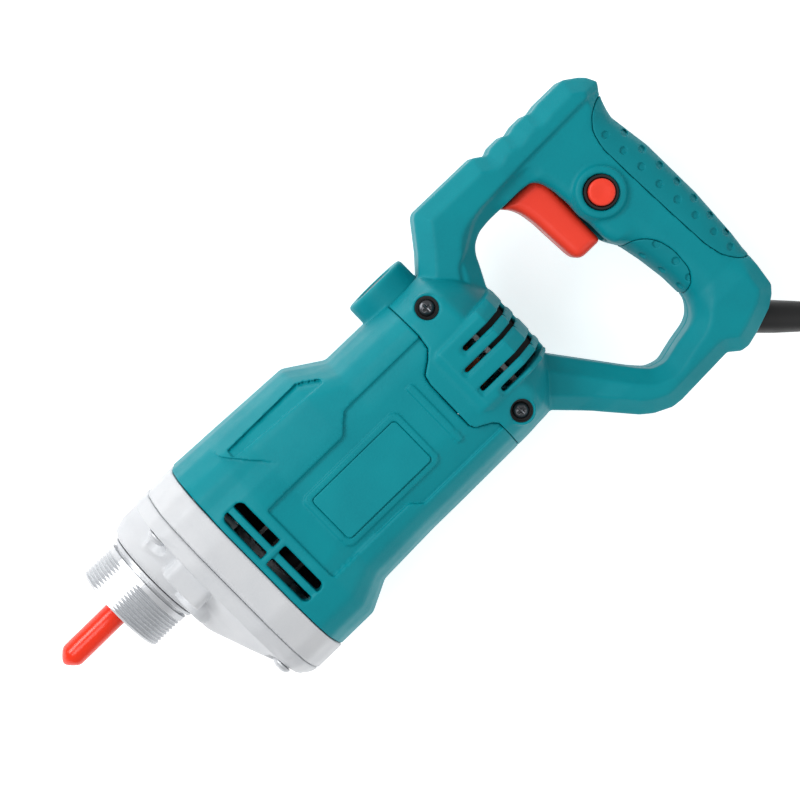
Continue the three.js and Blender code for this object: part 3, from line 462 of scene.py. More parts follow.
def join(a, b, r=0.0):
    """The nearer of two fields, with a fillet of about r where they meet."""
    if np.isscalar(r) and r <= 0:
        return np.minimum(a, b)
    h = np.clip(0.5 + 0.5 * (b - a) / r, 0, 1)
    return b + (a - b) * h - r * h * (1 - h)


def keep(a, b, r=0.0):
    """What two shapes share."""
    return -join(-a, -b, r)


def carve(a, tool, r=0.0):
    """The first shape with the second cut out of it."""
    return keep(a, -tool, r)


# %% Simple shapes


def slab_between(u, low, high):
    """Everything between two flat faces."""
    return np.abs(u - (low + high) / 2) - (high - low) / 2


def plate(u, v, low, high, corner):
    """A rectangle in the plane with round corners."""
    du = slab_between(u, low[0], high[0]) + corner
    dv = slab_between(v, low[1], high[1]) + corner
    outside = np.sqrt(np.maximum(du, 0) ** 2 + np.maximum(dv, 0) ** 2)
    return outside + np.minimum(np.maximum(du, dv), 0) - corner


def disc(u, v, at, radius):
    """A circle in the plane, or a round bar in space."""
    return np.sqrt((u - at[0]) ** 2 + (v - at[1]) ** 2) - radius


def flat_outline(corners, axes, radius=0.0):
    """Distance to an outline drawn in the side view, the same at every height."""
    x, y, _ = axes
    if radius:
        corners = soften(corners, radius)
    return outline(corners, x[:, :, 0], y[:, :, 0])[:, :, None]


# %% From a field to a finished piece


def link_mesh(name, verts, faces):
    """A mesh object from points and faces, which may be lists or an array of quads."""
    mesh = bpy.data.meshes.new(name)
    mesh.vertices.add(len(verts))
    mesh.vertices.foreach_set("co", np.asarray(verts, np.float32).ravel())
    if len(faces):
        sizes = np.array([len(f) for f in faces], np.int32)
        corners = np.concatenate([np.asarray(f, np.int32) for f in faces])
        mesh.loops.add(len(corners))
        mesh.loops.foreach_set("vertex_index", corners)
        mesh.polygons.add(len(sizes))
        mesh.polygons.foreach_set("loop_start", np.cumsum(sizes) - sizes)
        mesh.polygons.foreach_set("use_smooth", [True] * len(sizes))
    mesh.update(calc_edges=True)
    piece = bpy.data.objects.new(name, mesh)
    bpy.context.scene.collection.objects.link(piece)
    return piece


def face_outwards(piece):
    """Merges doubled points and makes every face point out of the solid."""
    shape = bmesh.new()
    shape.from_mesh(piece.data)
    bmesh.ops.remove_doubles(shape, verts=shape.verts, dist=1e-7)
    bmesh.ops.recalc_face_normals(shape, faces=shape.faces)
    if shape.calc_volume(signed=True) < 0:
        bmesh.ops.reverse_faces(shape, faces=shape.faces)
    shape.to_mesh(piece.data)
    shape.free()
    return piece


def bake_modifiers(piece):
    """Turns a piece and its modifiers into one plain mesh."""
    bpy.context.view_layer.update()
    done = bpy.data.meshes.new_from_object(
        piece.evaluated_get(bpy.context.evaluated_depsgraph_get()))
    piece.modifiers.clear()
    piece.data = done
    return piece


def surface(name, field, axes, step, most=190000):
    """Draws the surface of a field and thins it to at most so many triangles."""
    cells = openvdb.FloatGrid()
    cells.background = float(step * 3)
    cells.copyFromArray(np.ascontiguousarray(np.clip(field, -3 * step, 3 * step), np.float32))
    points, triangles, quads = cells.convertToPolygons(isovalue=0.0, adaptivity=0.0)
    start = np.array([a.ravel()[0] for a in axes])
    piece = link_mesh(name, place(points * step + start), quads[:, ::-1])
    face_outwards(piece)
    count = len(piece.data.polygons) * 2
    if count > most:
        thin = piece.modifiers.new("thin", "DECIMATE")
        thin.ratio = most / count
        bake_modifiers(piece)
        piece.data.polygons.foreach_set("use_smooth", [True] * len(piece.data.polygons))
    print(f"{name}: {len(piece.data.polygons)} faces")
    return piece


def reflected_axes(axes):
    """The axes of a field of the left half once it is turned to the right side."""
    return axes[0], axes[1], np.array([-axes[2].ravel()[-1]])


def surface_of_both_halves(name, field, axes, step, most=190000):
    """Draws a field of the left half together with its reflection in the middle plane."""
    whole = np.concatenate([field[:, :, :0:-1], field], axis=2)
    return surface(name, whole, reflected_axes(axes), step, most)


def finish_piece(piece, look, body, *replaced, slot=None):
    """Gives a piece its finish, the solids it stands for and the body it moves with."""
    piece.data.materials.clear()
    piece.data.materials.append(LOOKS[look])
    if replaced:
        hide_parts(*replaced)
    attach(piece, body)
    return piece


# %% [markdown]
# ## The casing's section
# The gear head, the motor housing and the rear cup share one rounded section, which only grows
# and shrinks along the tool. Its corner points are listed once, from the crown to the flank, and
# the field is worked out slice by slice. A loft of curves would need every slice to match the next.

# %% Casing field
SECTION = [(0, 0.33), (3.5, 0.58), (8.5, 0.79), (15.5, 0.906), (26.5, 0.969), (33.5, 1.0)]
CROWN = 53.5
MOTOR_Y = -2.5
SPINDLE_Y = 25.0
BRUSH_X = 121.0


def section(top, bottom, half):
    """One slice of the casing: how far it reaches up, down and to each side."""
    upper = [(top * (1 - d / CROWN), s * half) for d, s in SECTION]
    lower = [(bottom * (1 - d / CROWN), s * half) for d, s in SECTION]
    flank = upper + lower[::-1]
    ring = flank + [(y, -z) for y, z in flank[::-1]]
    return soften(ring, 2.2, 4)


def casing(axes, stations, eased=3.0):
    """Distance to the casing, slice by slice, with its sizes eased along the tool."""
    x, y, z = axes
    xs = x.ravel()
    st = np.array(stations, float)
    wide = np.arange(st[0, 0] - 20, st[-1, 0] + 20, 0.5)
    width = int(eased / 0.5) * 2 + 1
    kernel = np.hanning(width + 2)[1:-1]
    kernel /= kernel.sum()
    sizes = []
    for column in (1, 2, 3):
        line = np.interp(wide, st[:, 0], st[:, column])
        line = np.convolve(np.pad(line, width // 2, mode="edge"), kernel, "valid")
        sizes.append(np.interp(xs, wide, line))
    field = np.empty((len(xs), y.size, z.size), np.float32)
    known = {}
    for i, size in enumerate(zip(*np.round(sizes, 3))):
        if size not in known:
            known[size] = outline(section(*size), y[0], z[0])
        field[i] = known[size]
    return field


print("a section has", len(section(50, -50, 46)), "points")

# %% [markdown]
# ## Motor housing
# One barrel moulding holds the motor. It steps down behind the field winding, and each flank has a
# shallow panel with a label frame, a rib and four cooling slots over the fan. Only the left half is
# worked out, because the right half is its reflection.

# %% Motor housing
HOUSING = [(0.3, 53.9, -53, 48), (20, 53, -53, 48), (34, 52.4, -46, 46), (65, 51, -45, 46),
           (82, 40, -45, 46), (130, 39.6, -44.5, 46)]
SEAM = [(118, 80), (118.5, 22.3), (117.5, 16), (114, 12.5), (108.5, 8.5), (107.5, 4),
        (107.3, -20), (108.5, -22.5), (115, -26), (117.3, -28.5), (117.5, -90)]
PANEL = [(20, 14.5), (65, 14.5), (73, 22), (140, 22), (140, -31), (70, -31), (65, -26),
         (20, -26)]
BEHIND_SEAM = SEAM + [(320, -90), (320, 80)]
HALF_DEPTH = (0, 50.25)


def cooling_slots(body, whole, axes):
    """Four slots in one rounded window. The bar along them is sunk, the bar across is flush."""
    x, y, z = axes
    window = plate(x, y, (3.5, -25.8), (15, 25.8), 3.0)
    cross_bar = slab_between(y, -1.5, 1.5)
    long_bar = slab_between(x, 7.4, 10.6)
    side = 30 - z
    sunk = np.maximum(np.maximum(window, -cross_bar), np.maximum(-(body + 1.0), side))
    hole = np.maximum(np.maximum(window, -cross_bar), np.maximum(-long_bar, side))
    return carve(carve(whole, sunk, 0.3), hole, 0.3)


def housing_field():
    axes = grid((-1.5, 138.5), (-56, 57), HALF_DEPTH, STEP)
    x, y, z = axes
    body = casing(axes, HOUSING, 1.6)
    base = keep(body, join(-flat_outline(PANEL, axes, 1.0), body + 1.8, 0.3), 0.35)
    # A shallow flat runs along the upper edge.
    upper = [(25, 44.2), (66, 44.2), (75, 38.6), (75, 36.5), (25, 40.2)]
    base = keep(base, join(-flat_outline(upper, axes, 0.6), body + 1.5, 0.3), 0.3)
    # The front of the crown is cut lower, back to a slanting edge.
    front = flat_outline([(-9, 60), (16, 60), (21, 44.5), (38, 25.5), (-9, 25.5)], axes, 0.6)
    lowered = body + 1.7 * np.clip((y - 25.5) / 6, 0, 1) * np.clip((50 - y) / 6, 0, 1)
    base = keep(base, join(-front, lowered, 0.3), 0.3)
    # The label frame and the rib behind it stand in the panel.
    frame_ring = carve(plate(x, y, (33.2, -22.3), (88.8, 7.3), 3.4),
                       plate(x, y, (36, -19.5), (86, 4.5), 2.0))
    rib = plate(x, y, (98.5, -22.5), (102, 10.5), 1.4)
    base = join(base, keep(join(frame_ring, rib), body + 0.9, 0.3), 0.25)
    # Each carbon brush has a round boss.
    boss = keep(disc(x, z, (BRUSH_X, 0), 15.5), slab_between(y, 20, 50), 1.8)
    boss_low = keep(disc(x, z, (BRUSH_X, 0), 11), slab_between(y, -44.8, -24), 0.5)
    whole = keep(join(join(base, boss, 1.6), boss_low), 0.3 - x, 0.3)
    # Inside, the bore steps down from the fan to the winding and the commutator.
    bore = join(join(
        keep(disc(y, z, (-1, 0), 43.5), slab_between(x, -5, 46)),
        keep(disc(y, z, (MOTOR_Y, 0), 39.2), slab_between(x, 45, 92.3))),
        keep(disc(y, z, (MOTOR_Y, 0), 36.5), slab_between(x, 91, 160)))
    # Behind the seam the handle takes over, but the bosses stay with the housing.
    seam = flat_outline(BEHIND_SEAM, axes) - 0.2
    in_boss = np.maximum(disc(x, z, (BRUSH_X, 0), 15.7), 32.7 - y)
    in_boss = join(in_boss, np.maximum(disc(x, z, (BRUSH_X, 0), 11.0), y + 30))
    whole = carve(whole, np.maximum(seam, -in_boss), 0.25)
    whole = carve(whole, bore)
    whole = cooling_slots(body, whole, axes)
    cap_well = np.maximum(disc(x, z, (BRUSH_X, 0), 10.1), 44.7 - y)
    bore_y = disc(x, z, (BRUSH_X, 0), 6.7)
    low_well = np.maximum(disc(x, z, (BRUSH_X, 0), 8.6), y + 40.3)
    return carve(carve(carve(whole, cap_well, 0.4), bore_y), low_well, 0.3), axes


housing = surface_of_both_halves("housing_moulding", *housing_field(), STEP)
finish_piece(housing, "teal_plastic", "casing", "motor_housing")

# %% [markdown]
# ## Gear head
# The gear case is a plain cast plate between the housing and the cover. The cover is a deeper
# casting: a round chamber over the large gear, a bearing boss for the motor shaft below it, and a
# flat seat for each of its four screws. Castings have soft inner corners, and a smooth minimum
# gives a different fillet to each joint.

# %% Gear case
HEAD = [(-40, 53.5, -53.5, 48), (20, 53.5, -53.5, 48)]
COVER = [(-26, 53.5, -49.6, 47), (-22, 53.5, -49.6, 47), (-18, 53.5, -52.6, 48),
         (-14.7, 53.5, -53.5, 48), (0, 53.5, -53.5, 48)]
SCREW_Y, SCREW_Z = 38.5, 35.0


def gear_case_field():
    """The plate, with a hub for the motor's bearing and a pocket for the spindle's."""
    axes = grid((-16, 6), (-56, 56), HALF_DEPTH, STEP)
    x, y, z = axes
    body = keep(casing(axes, HEAD), slab_between(x, -14.5, -0.05), 0.3)
    hub = keep(disc(y, z, (MOTOR_Y, 0), 18), slab_between(x, -2, 4.4), 0.3)
    body = join(body, hub)
    body = carve(body, disc(y, z, (MOTOR_Y, 0), 13.3))
    return carve(body, np.maximum(disc(y, z, (SPINDLE_Y, 0), 11.3), -x - 13.3)), axes


gear_case = surface_of_both_halves("gear_case_casting", *gear_case_field(), STEP, 60000)
finish_piece(gear_case, "cast_aluminium", "casing", "gear_case")

# %% Gear cover


def tapered_bar(x, sizes, y, z, centre):
    """A round bar along the tool whose radius follows (x, radius) pairs."""
    return disc(y, z, centre, 0) - along_tool(x, *zip(*sizes))


def along_tool(x, places, values):
    """A size that changes along the tool, ready to be used with a field."""
    return np.interp(x.ravel(), places, values).astype(np.float32)[:, None, None]


def gear_cover_field():
    axes = grid((-41, -13), (-56, 56), HALF_DEPTH, FINE)
    x, y, z = axes
    flange = keep(casing(axes, COVER, 1.2), slab_between(x, -22, -14.65), 0.4)
    # The gear chamber narrows towards its front face.
    chamber = tapered_bar(x, [(-38.5, 23.6), (-36.5, 26.4), (-30, 28.4), (-14, 28.4)], y, z,
                          (SPINDLE_Y, 0))
    chamber = keep(chamber, -38.4 - x, 0.8)
    # A skirt slopes from the chamber's foot down to the lower screws.
    low = along_tool(x, [-38, -34, -30, -25, -20], [-12, -19.5, -28, -37.5, -43])
    wide = along_tool(x, [-38, -34, -28, -23, -18], [12, 20, 31, 40, 46])
    slope = (0.42 * (z - wide) + 0.9 * (low - y)) * 0.95
    skirt = keep(keep(keep(z - wide, low - y, 7.0), slope + 5.0, 2.0), y - 40, 4.0)
    skirt = keep(skirt, -37.6 - x, 1.2)
    body = join(join(flange, chamber, 1.2), skirt, 1.6)
    # Two round knuckles with a shelf behind each carry the cover's dowels.
    knuckle = keep(disc(y, z, (5.5, 21), 9.6), -36.2 - x, 0.9)
    shelf = keep(plate(y, z, (4, 20), (26, 43), 4.0), -32.0 - x, 0.9)
    body = join(body, keep(join(knuckle, shelf, 0.8), casing(axes, HEAD) + 1.0, 1.0), 0.9)
    for sign in (1, -1):
        well = np.maximum(disc(y, z, (sign * SCREW_Y, SCREW_Z), 7.4), x + 22.0)
        body = carve(body, well, 0.5)
        body = carve(body, disc(y, z, (sign * SCREW_Y, SCREW_Z), 2.3))
    body = keep(body, casing(axes, HEAD), 0.4)
    body = keep(body, x + 14.65, 0.3)
    body = carve(body, np.maximum(disc(y, z, (SPINDLE_Y, 0), 24.6), -x - 28.6))
    body = carve(body, disc(y, z, (SPINDLE_Y, 0), 13.5))
    return carve(body, np.maximum(disc(y, z, (MOTOR_Y, 0), 10), -x - 28.6)), axes


gear_cover = surface_of_both_halves("gear_cover_casting", *gear_cover_field(), FINE, 150000)
finish_piece(gear_cover, "cast_aluminium", "casing", "gear_cover")

# %% [markdown]
# ## D-handle
# The handle is two mouldings that meet on the middle plane. Seen from the side it is an outline
# with a hand opening, and its edges are chamfered and then softened. The rail at the top is a
# little thicker than the grip, which leaves a crease where they meet. Modelling every facet by hand
# would take many loops, while here a chamfer is one more plane in the field.

# %% Handle outlines
OUTSIDE = [(120, 38), (137, 39), (144, 47), (153, 59), (155, 60.3), (190, 60), (195.5, 56.2),
           (199, 57.7), (206, 57.7), (208.5, 56.2), (213, 57.4), (219.5, 57.4), (222, 56.2),
           (227, 57.1), (242, 57.1), (248, 53), (250.5, 50.5), (252.8, 46), (250.5, 42.5),
           (249, 39), (247.2, 30), (250.3, 10), (251.4, -20), (250.4, -45), (249, -57),
           (247, -72), (244, -75.5), (239, -79), (228, -83), (221, -84.8), (217, -84.2),
           (212, -80.2), (183, -81.3), (178, -80.8), (170, -77), (165, -73), (151, -57),
           (138, -44), (120, -44)]
OPENING = [(153.5, 11), (160, 24), (162, 28.5), (165, 32), (170, 34.5), (176, 35.2),
           (195, 35.2), (201, 34.6), (204, 31), (205.6, 25), (207, 10), (207.3, -6),
           (209, -10), (211.5, -14), (214, -25), (216, -38), (216.5, -50), (215, -54),
           (212, -58), (208, -60), (200, -61.5), (190, -64), (187, -63.5), (183, -62),
           (178, -56.5), (154, -25), (152, -18), (152, 4)]
CREASE = [(100, 5), (147, 22), (153, 31), (160, 33), (170, 39.5), (176, 41.5), (200, 43),
          (245, 44), (262, 40), (262, 90), (100, 90)]
BACK_PAD = [(258, 41), (246.5, 40.5), (240.5, 37.5), (235.5, 31.5), (233.7, 23.5),
            (234.5, 6.5), (236, -18.5), (237.5, -38.5), (239.5, -46.5), (243.5, -52.5),
            (247, -55.5), (258, -56.5)]
FRONT_PAD = [(203, -13.5), (214.5, -14.5), (219.5, -17.5), (223.5, -22.5), (225.5, -30.5),
             (225, -40.5), (222.1, -46), (217, -48.5), (203, -49)]
BUTTON = (219.7, 10.5)
CUP = [(100, 39.8, -44.8, 46), (124, 39.6, -44.5, 46), (137, 38.8, -43.6, 45),
       (148, 30, -33, 32), (152, 22, -27, 22), (155, 15, -22, 15)]
LOUVRES = [(128, 4, 6.5), (122, -3, -1), (121.5, -13.5, -11), (127.9, -19.9, -17.4)]
EARS = [(129.3, 28.5), (127.9, -31.7)]
BEVEL = math.sqrt(0.5)
print("the handle's outline has", len(OUTSIDE), "corners and its opening", len(OPENING))

# %% [markdown]
# ## The handle's body
# The body is one field that the shells and the soft grips are both cut from, so they fit each other
# exactly. The cup behind the motor and the raised ring round the button blend into it.

# %% The handle's body


def fade(u, start, length):
    """0 up to start, then rising to 1 over length. A negative length goes the other way."""
    return np.clip((u - start) / length, 0, 1)


def handle_body(axes):
    """The D-shaped handle without the cup, before it is hollowed."""
    x, y, z = axes
    ring = keep(flat_outline(OUTSIDE, axes, 0.8), -flat_outline(OPENING, axes, 2.0))
    crease = flat_outline(CREASE, axes, 3.0)
    thick = 18.9 + 1.9 * np.clip(0.5 - crease / 1.6, 0, 1)
    lower = fade(y, -52, -8) * 1.9
    half = np.minimum(thick + lower, 20.9)
    side = np.abs(z) - half
    # Over the trigger the wall is thin, so its chamfer is narrower there.
    over_trigger = (fade(x, 180, 8) * fade(x, 222, -8) * fade(y, 40, -6) * fade(y, -16, 6))
    chamfer = (ring + np.abs(z) - half + 7.2 - 4.4 * over_trigger) * BEVEL
    # Where the hand closes round it, the grip is round. Elsewhere its chamfers are crisp.
    in_hand = fade(x, 199, 8) * fade(y, 40, -6) * fade(y, -62, 10)
    softness = 0.8 + 4.2 * in_hand - 2.8 * in_hand * over_trigger
    return keep(keep(ring, side, 0.6 + in_hand), chamfer, softness)


def cup_body(axes):
    """The cup that closes the motor's rear end, with a dome on each flank for the louvres."""
    x, y, z = axes
    cup = keep(casing(axes, CUP, 3.0), x - 154.5, 3.5)
    face = along_tool(x, [100, 109, 119, 143, 150.5, 154.5, 156.3, 160],
                      [42, 43, 47.9, 47.3, 39, 26, 12, 0])
    dome = keep(keep(slab_between(y, -22.3, 14), z - face, 0.8), x - 156.1, 2.5)
    dome = keep(dome, (np.abs(y + 4.15) - 18.15 + z - face + 3.0) * BEVEL, 0.6)
    return join(cup, dome, 0.6)


def handle_with_cup(axes):
    """The handle, the mound round the button and the cup, as one body."""
    x, y, z = axes
    mound_radius = np.interp(np.abs(z).ravel(), [17, 21.6], [13.6, 11.0]).astype(np.float32)
    mound = keep(disc(x, y, BUTTON, 0) - mound_radius[None, None, :], z - 21.5, 0.8)
    body = join(handle_body(axes), np.maximum(mound, -z), 1.2)
    return join(body, cup_body(axes), 1.6)


# %% [markdown]
# ## Handle shells
# A shell is the body made hollow and cut along the middle plane and the seam, with everything that
# passes through it cut out: screw wells, louvres, the trigger, the button and the cord.

# %% Handle shells
PAD_CORNER = 2.5
SIDES = ((1, "left"), (-1, "right"))


def on_side(field, axes, side):
    """A field of the left half, reflected if it is wanted on the right."""
    return (field, axes) if side > 0 else (field[:, :, ::-1], reflected_axes(axes))


def shell_field(side):
    """The left half of one shell. The right one is made the same way and then reflected."""
    axes = grid((104, 256), (-88, 63), (-1.5, 50.25), STEP)
    x, y, z = axes
    solid_body = handle_with_cup(axes)
    wall = np.where(x < 158, 3.0, 5.8).astype(np.float32)
    pads = join(flat_outline(BACK_PAD, axes, PAD_CORNER),
                flat_outline(FRONT_PAD, axes, PAD_CORNER))
    # The soft pads sit in a shallow bed, with a thin dark line round them.
    body = keep(solid_body, join(-(pads - 0.12), solid_body + 2.8, 0.2), 0.15)
    body = carve(body, solid_body + wall)
    for ear, depth in zip(EARS, (38.2, 40.6)):
        ring = keep(disc(x, y, ear, 6.4), slab_between(z, 27, depth), 0.7)
        body = join(body, ring, 0.8)
        body = carve(body, np.maximum(disc(x, y, ear, 5.2), 36.0 - z), 0.4)
        body = carve(body, disc(x, y, ear, 2.3))
    for lx, y0, y1 in LOUVRES:
        slot = keep(plate(x, y, (lx, y0), (170, y1), 0.7), 22 - z)
        body = carve(body, slot, 0.35)
        # Each slot has a shallow lead-in on its lower side.
        lead = keep(plate(x, y, (lx - 1.5, y0 - 1.3), (170, y1), 0.7), -(solid_body + 0.9))
        body = carve(body, lead, 0.4)
    body = keep(body, flat_outline(BEHIND_SEAM, axes), 0.25)
    body = carve(body, np.maximum(disc(x, z, (BRUSH_X, 0), 15.8), 32.5 - y), 0.2)
    body = carve(body, np.maximum(disc(x, z, (BRUSH_X, 0), 11.4), y + 30), 0.3)
    trigger_room = np.maximum(plate(x, y, (202.5, -7.8), (213.5, 35.6), 1.2), z - 12)
    body = carve(body, trigger_room, 0.3)
    exit_u = (x - CORD_EXIT[0]) * CORD_HEADING[0] + (y - CORD_EXIT[1]) * CORD_HEADING[1]
    exit_v = -(x - CORD_EXIT[0]) * CORD_HEADING[1] + (y - CORD_EXIT[1]) * CORD_HEADING[0]
    boot = np.maximum(np.sqrt(exit_v ** 2 + z ** 2) - 7.9, -exit_u - 13)
    body = carve(body, boot, 0.4)
    if side > 0:
        body = carve(body, np.maximum(disc(x, y, BUTTON, 8.05), 5 - z), 0.3)
    else:
        for at in ((232, 47.2), (200.6, -71.8)):
            body = join(body, keep(disc(x, y, at, 4.2), slab_between(z, 0, 18)))
            body = carve(body, np.maximum(disc(x, y, at, 4.8), 14 - z), 0.4)
            body = carve(body, disc(x, y, at, 1.8))
    return on_side(keep(body, 0.12 - z, 0.35), axes, side)


for side, hand in SIDES:
    piece = surface(f"handle_moulding_{hand}", *shell_field(side), STEP)
    finish_piece(piece, "teal_plastic", "casing", f"handle_shell_{hand}")

# %% [markdown]
# ## Soft grips
# The grips are moulded from softer plastic into beds in the handle. Rows of small round dimples
# give the hand a hold. They could be bumps in the material, but then they would vanish along the
# edges, so they are real hollows, cut a set depth below the pad's own surface.

# %% Grip pads
BACK_DIMPLES = [(238.7, 27), (239.7, 16.5), (240.5, 6), (241, -5), (242, -15.5), (243, -26),
                (244, -37), (244.7, -47), (245.9, 21.5), (246.4, 11), (247.1, 0.5),
                (247.8, -10), (248, -20.5), (248.2, -31), (248.2, -41.5)]
FRONT_DIMPLES = [(222, -23), (223, -34.5), (222.4, -44)]
# These are on the edges, so they are given by height and depth and look along the tool.
BACK_EDGE_DIMPLES = [(27 - 10.4 * i, 8) for i in range(8)]
FRONT_EDGE_DIMPLES = [(-23 - 10.7 * i, 11) for i in range(3)]
DIMPLE_RADIUS, DIMPLE_DEPTH = 1.65, 0.75
GRIP_STEP = cell_size(0.45)


def pad_field(corners, dimples, edge_dimples, spans, side):
    axes = grid(*spans, (-1, 21), GRIP_STEP)
    x, y, z = axes
    whole = handle_body(axes)
    pad = keep(whole - 0.12, flat_outline(corners, axes, PAD_CORNER) + 0.05, 0.35)
    pad = carve(pad, whole + 2.5)
    holes = [disc(x, y, at, DIMPLE_RADIUS) for at in dimples]
    holes += [disc(y, z, at, DIMPLE_RADIUS) for at in edge_dimples]
    for hole in holes:
        pad = keep(pad, join(-hole, whole + DIMPLE_DEPTH, 0.25), 0.25)
    return on_side(keep(pad, 0.12 - z, 0.3), axes, side)


PADS = {"back": (BACK_PAD, BACK_DIMPLES, BACK_EDGE_DIMPLES, ((231, 254), (-59, 43))),
        "front": (FRONT_PAD, FRONT_DIMPLES, FRONT_EDGE_DIMPLES, ((208, 228), (-51, -11)))}
for label, shape in PADS.items():
    for side, hand in SIDES:
        pad = surface(f"grip_{label}_{hand}", *pad_field(*shape, side), GRIP_STEP, 120000)
        finish_piece(pad, "teal_rubber", "casing", f"grip_pad_{label}_{hand}")

# %% [markdown]
# ## Trigger
# The trigger is a deep red paddle with soft edges, and a plunger behind it that reaches the switch.
# It rides on its own body, because it moves when it is pressed.

# %% Trigger
TRIGGER = [(183.6, 34.8), (187, 31.6), (189.3, 27), (190.6, 20), (191.2, 10), (192, -1.5),
           (193, -4), (195.5, -5.6), (206.3, -5.6), (206.3, 29.7), (204, 34.8)]


TRIGGER_HALF = 11.4  # half its width


def trigger_field():
    axes = grid((181, 215), (-8, 37), (0, 13), GRIP_STEP)
    x, y, z = axes
    side_view = flat_outline(TRIGGER, axes, 2.2)
    bulge = (side_view + z - TRIGGER_HALF + 2.4) * BEVEL
    body = keep(keep(side_view, z - TRIGGER_HALF, 1.0), bulge, 1.6)
    plunger = keep(plate(x, y, (200, 10), (213, 28), 1.0), z - 5.5, 0.5)
    return join(body, plunger, 0.5), axes


trigger = surface_of_both_halves("trigger_paddle", *trigger_field(), GRIP_STEP, 90000)
finish_piece(trigger, "red_plastic", "trigger_body", "trigger")

# %% [markdown]
# ## Turned pieces
# Anything round is a profile spun about an axis. The Screw modifier could do it, but building the
# rings directly keeps the poles closed and lets the axis lie along the tool or along the cord.

# %% Spinning a profile


def turned(name, profile, sides=96, axis="z", at=(0, 0, 0), heading=None):
    """Spins a profile of (height, radius) points. A radius of 0 closes an end."""
    rows, points = [], []
    for height, radius in profile:
        if radius <= 1e-6:
            rows.append([len(points)] * sides)
            points.append((0.0, 0.0, height))
        else:
            rows.append(list(range(len(points), len(points) + sides)))
            turn = np.arange(sides) * 2 * np.pi / sides
            points += [(radius * math.cos(t), radius * math.sin(t), height) for t in turn]
    points = np.array(points)
    faces = []
    closed = profile[0][1] > 1e-6
    for low, high in zip(rows, rows[1:] + (rows[:1] if closed else [])):
        for i in range(sides):
            j = (i + 1) % sides
            loop = [low[i], low[j], high[j], high[i]]
            faces.append([v for k, v in enumerate(loop) if v != loop[k - 1]])
    faces = [f for f in faces if len(f) > 2]
    if axis == "x":
        points = points[:, [2, 0, 1]]
    if heading is not None:
        ux, uy = heading
        points = np.stack([points[:, 2] * ux - points[:, 0] * uy,
                           points[:, 2] * uy + points[:, 0] * ux, points[:, 1]], 1)
    piece = link_mesh(name, place(points + np.array(at, float)), faces)
    face_outwards(piece)
    piece.data.set_sharp_from_angle(angle=math.radians(38))
    print(f"{name}: {len(faces)} faces")
    return piece


def arc(centre, radius, start, end, count=6):
    """Points on a quarter round, to soften a turned edge. Each is (height, radius)."""
    angles = np.radians(np.linspace(start, end, count))
    return [(centre[0] + radius * math.sin(a), centre[1] + radius * math.cos(a))
            for a in angles]


# %% [markdown]
# ## Lock button
# The button is turned, with a shallow dish for the thumb, and sits in a plain black collar. A coil
# spring holds it up. The spring can't slide with the button, because its lower end stays where it
# is, so it stays with the casing.

# %% Lock button
button = turned("lock_button_cap",
                [(11, 0), (11, 2.3), (14.2, 2.3), (14.2, 5.6), (14.6, 6.0)]
                + arc((23.4, 4.9), 1.1, 0, 80) + [(24.3, 3.2), (24.05, 1.6), (24.0, 0)],
                at=(*BUTTON, 0))
finish_piece(button, "red_plastic", "button", "lock_button")
collar = turned("lock_button_ring", [(15.2, 6.35), (15.2, 7.7), (22.0, 7.7), (22.35, 7.4),
                                     (22.35, 6.7), (22.0, 6.35)], at=(*BUTTON, 0))
finish_piece(collar, "black_plastic", "casing", "lock_button_collar")


def button_spring(radius=3.6, wire=0.4, low=10.1, high=13.4, turns=2, steps=24, sides=10):
    """Rings of wire along a helix, with a flat face at each end."""
    rows, ring = turns * steps + 1, np.arange(sides) * 2 * np.pi / sides
    turn = np.arange(rows)[:, None] * 2 * np.pi / steps
    reach = radius + wire * np.cos(ring)[None, :]
    height = np.linspace(low, high, rows)[:, None] + wire * np.sin(ring)[None, :]
    points = np.stack([BUTTON[0] + reach * np.cos(turn), BUTTON[1] - reach * np.sin(turn),
                       height], -1).reshape(-1, 3)
    base = np.arange(rows - 1)[:, None] * sides + np.arange(sides)[None, :]
    after = np.roll(base, -1, 1)
    faces = np.stack([base, after, after + sides, base + sides], -1).reshape(-1, 4).tolist()
    faces += [list(range(sides))[::-1], list(range((rows - 1) * sides, rows * sides))]
    print("lock_spring_coil:", len(faces), "faces")
    return face_outwards(link_mesh("lock_spring_coil", place(points), faces))


spring = finish_piece(button_spring(), "steel", "casing", "lock_button_spring")
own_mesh(spring)

# %% [markdown]
# ## Red cap
# A dipped vinyl cap keeps the spindle clean while the tool is stored. It is hollow, with a round
# nose, and slides off along the spindle.

# %% Red cap
CAP_PROFILE = [(-95, 0), (-94.7, 1.0), (-94.0, 2.1), (-92.6, 3.6), (-91.2, 4.8), (-90.2, 5.4),
               (-89, 5.72), (-84, 5.75), (-70, 5.7), (-57.3, 5.75), (-57, 5.55), (-57, 4.85),
               (-89, 4.8), (-90, 3.5), (-90.2, 0)]
cap = turned("spindle_cap_vinyl", CAP_PROFILE, axis="x", at=(0, SPINDLE_Y, 0))
finish_piece(cap, "red_vinyl", "cap", "spindle_cap")

# %% [markdown]
# ## Threaded nose
# The flexible shaft screws onto the nose. Its thread is a real helical groove with a milled flat on
# two sides. Rings of points are stacked along it, and each point's radius comes from how far round
# and how far along it is, which is simpler than sweeping a cutter and closes without seams.

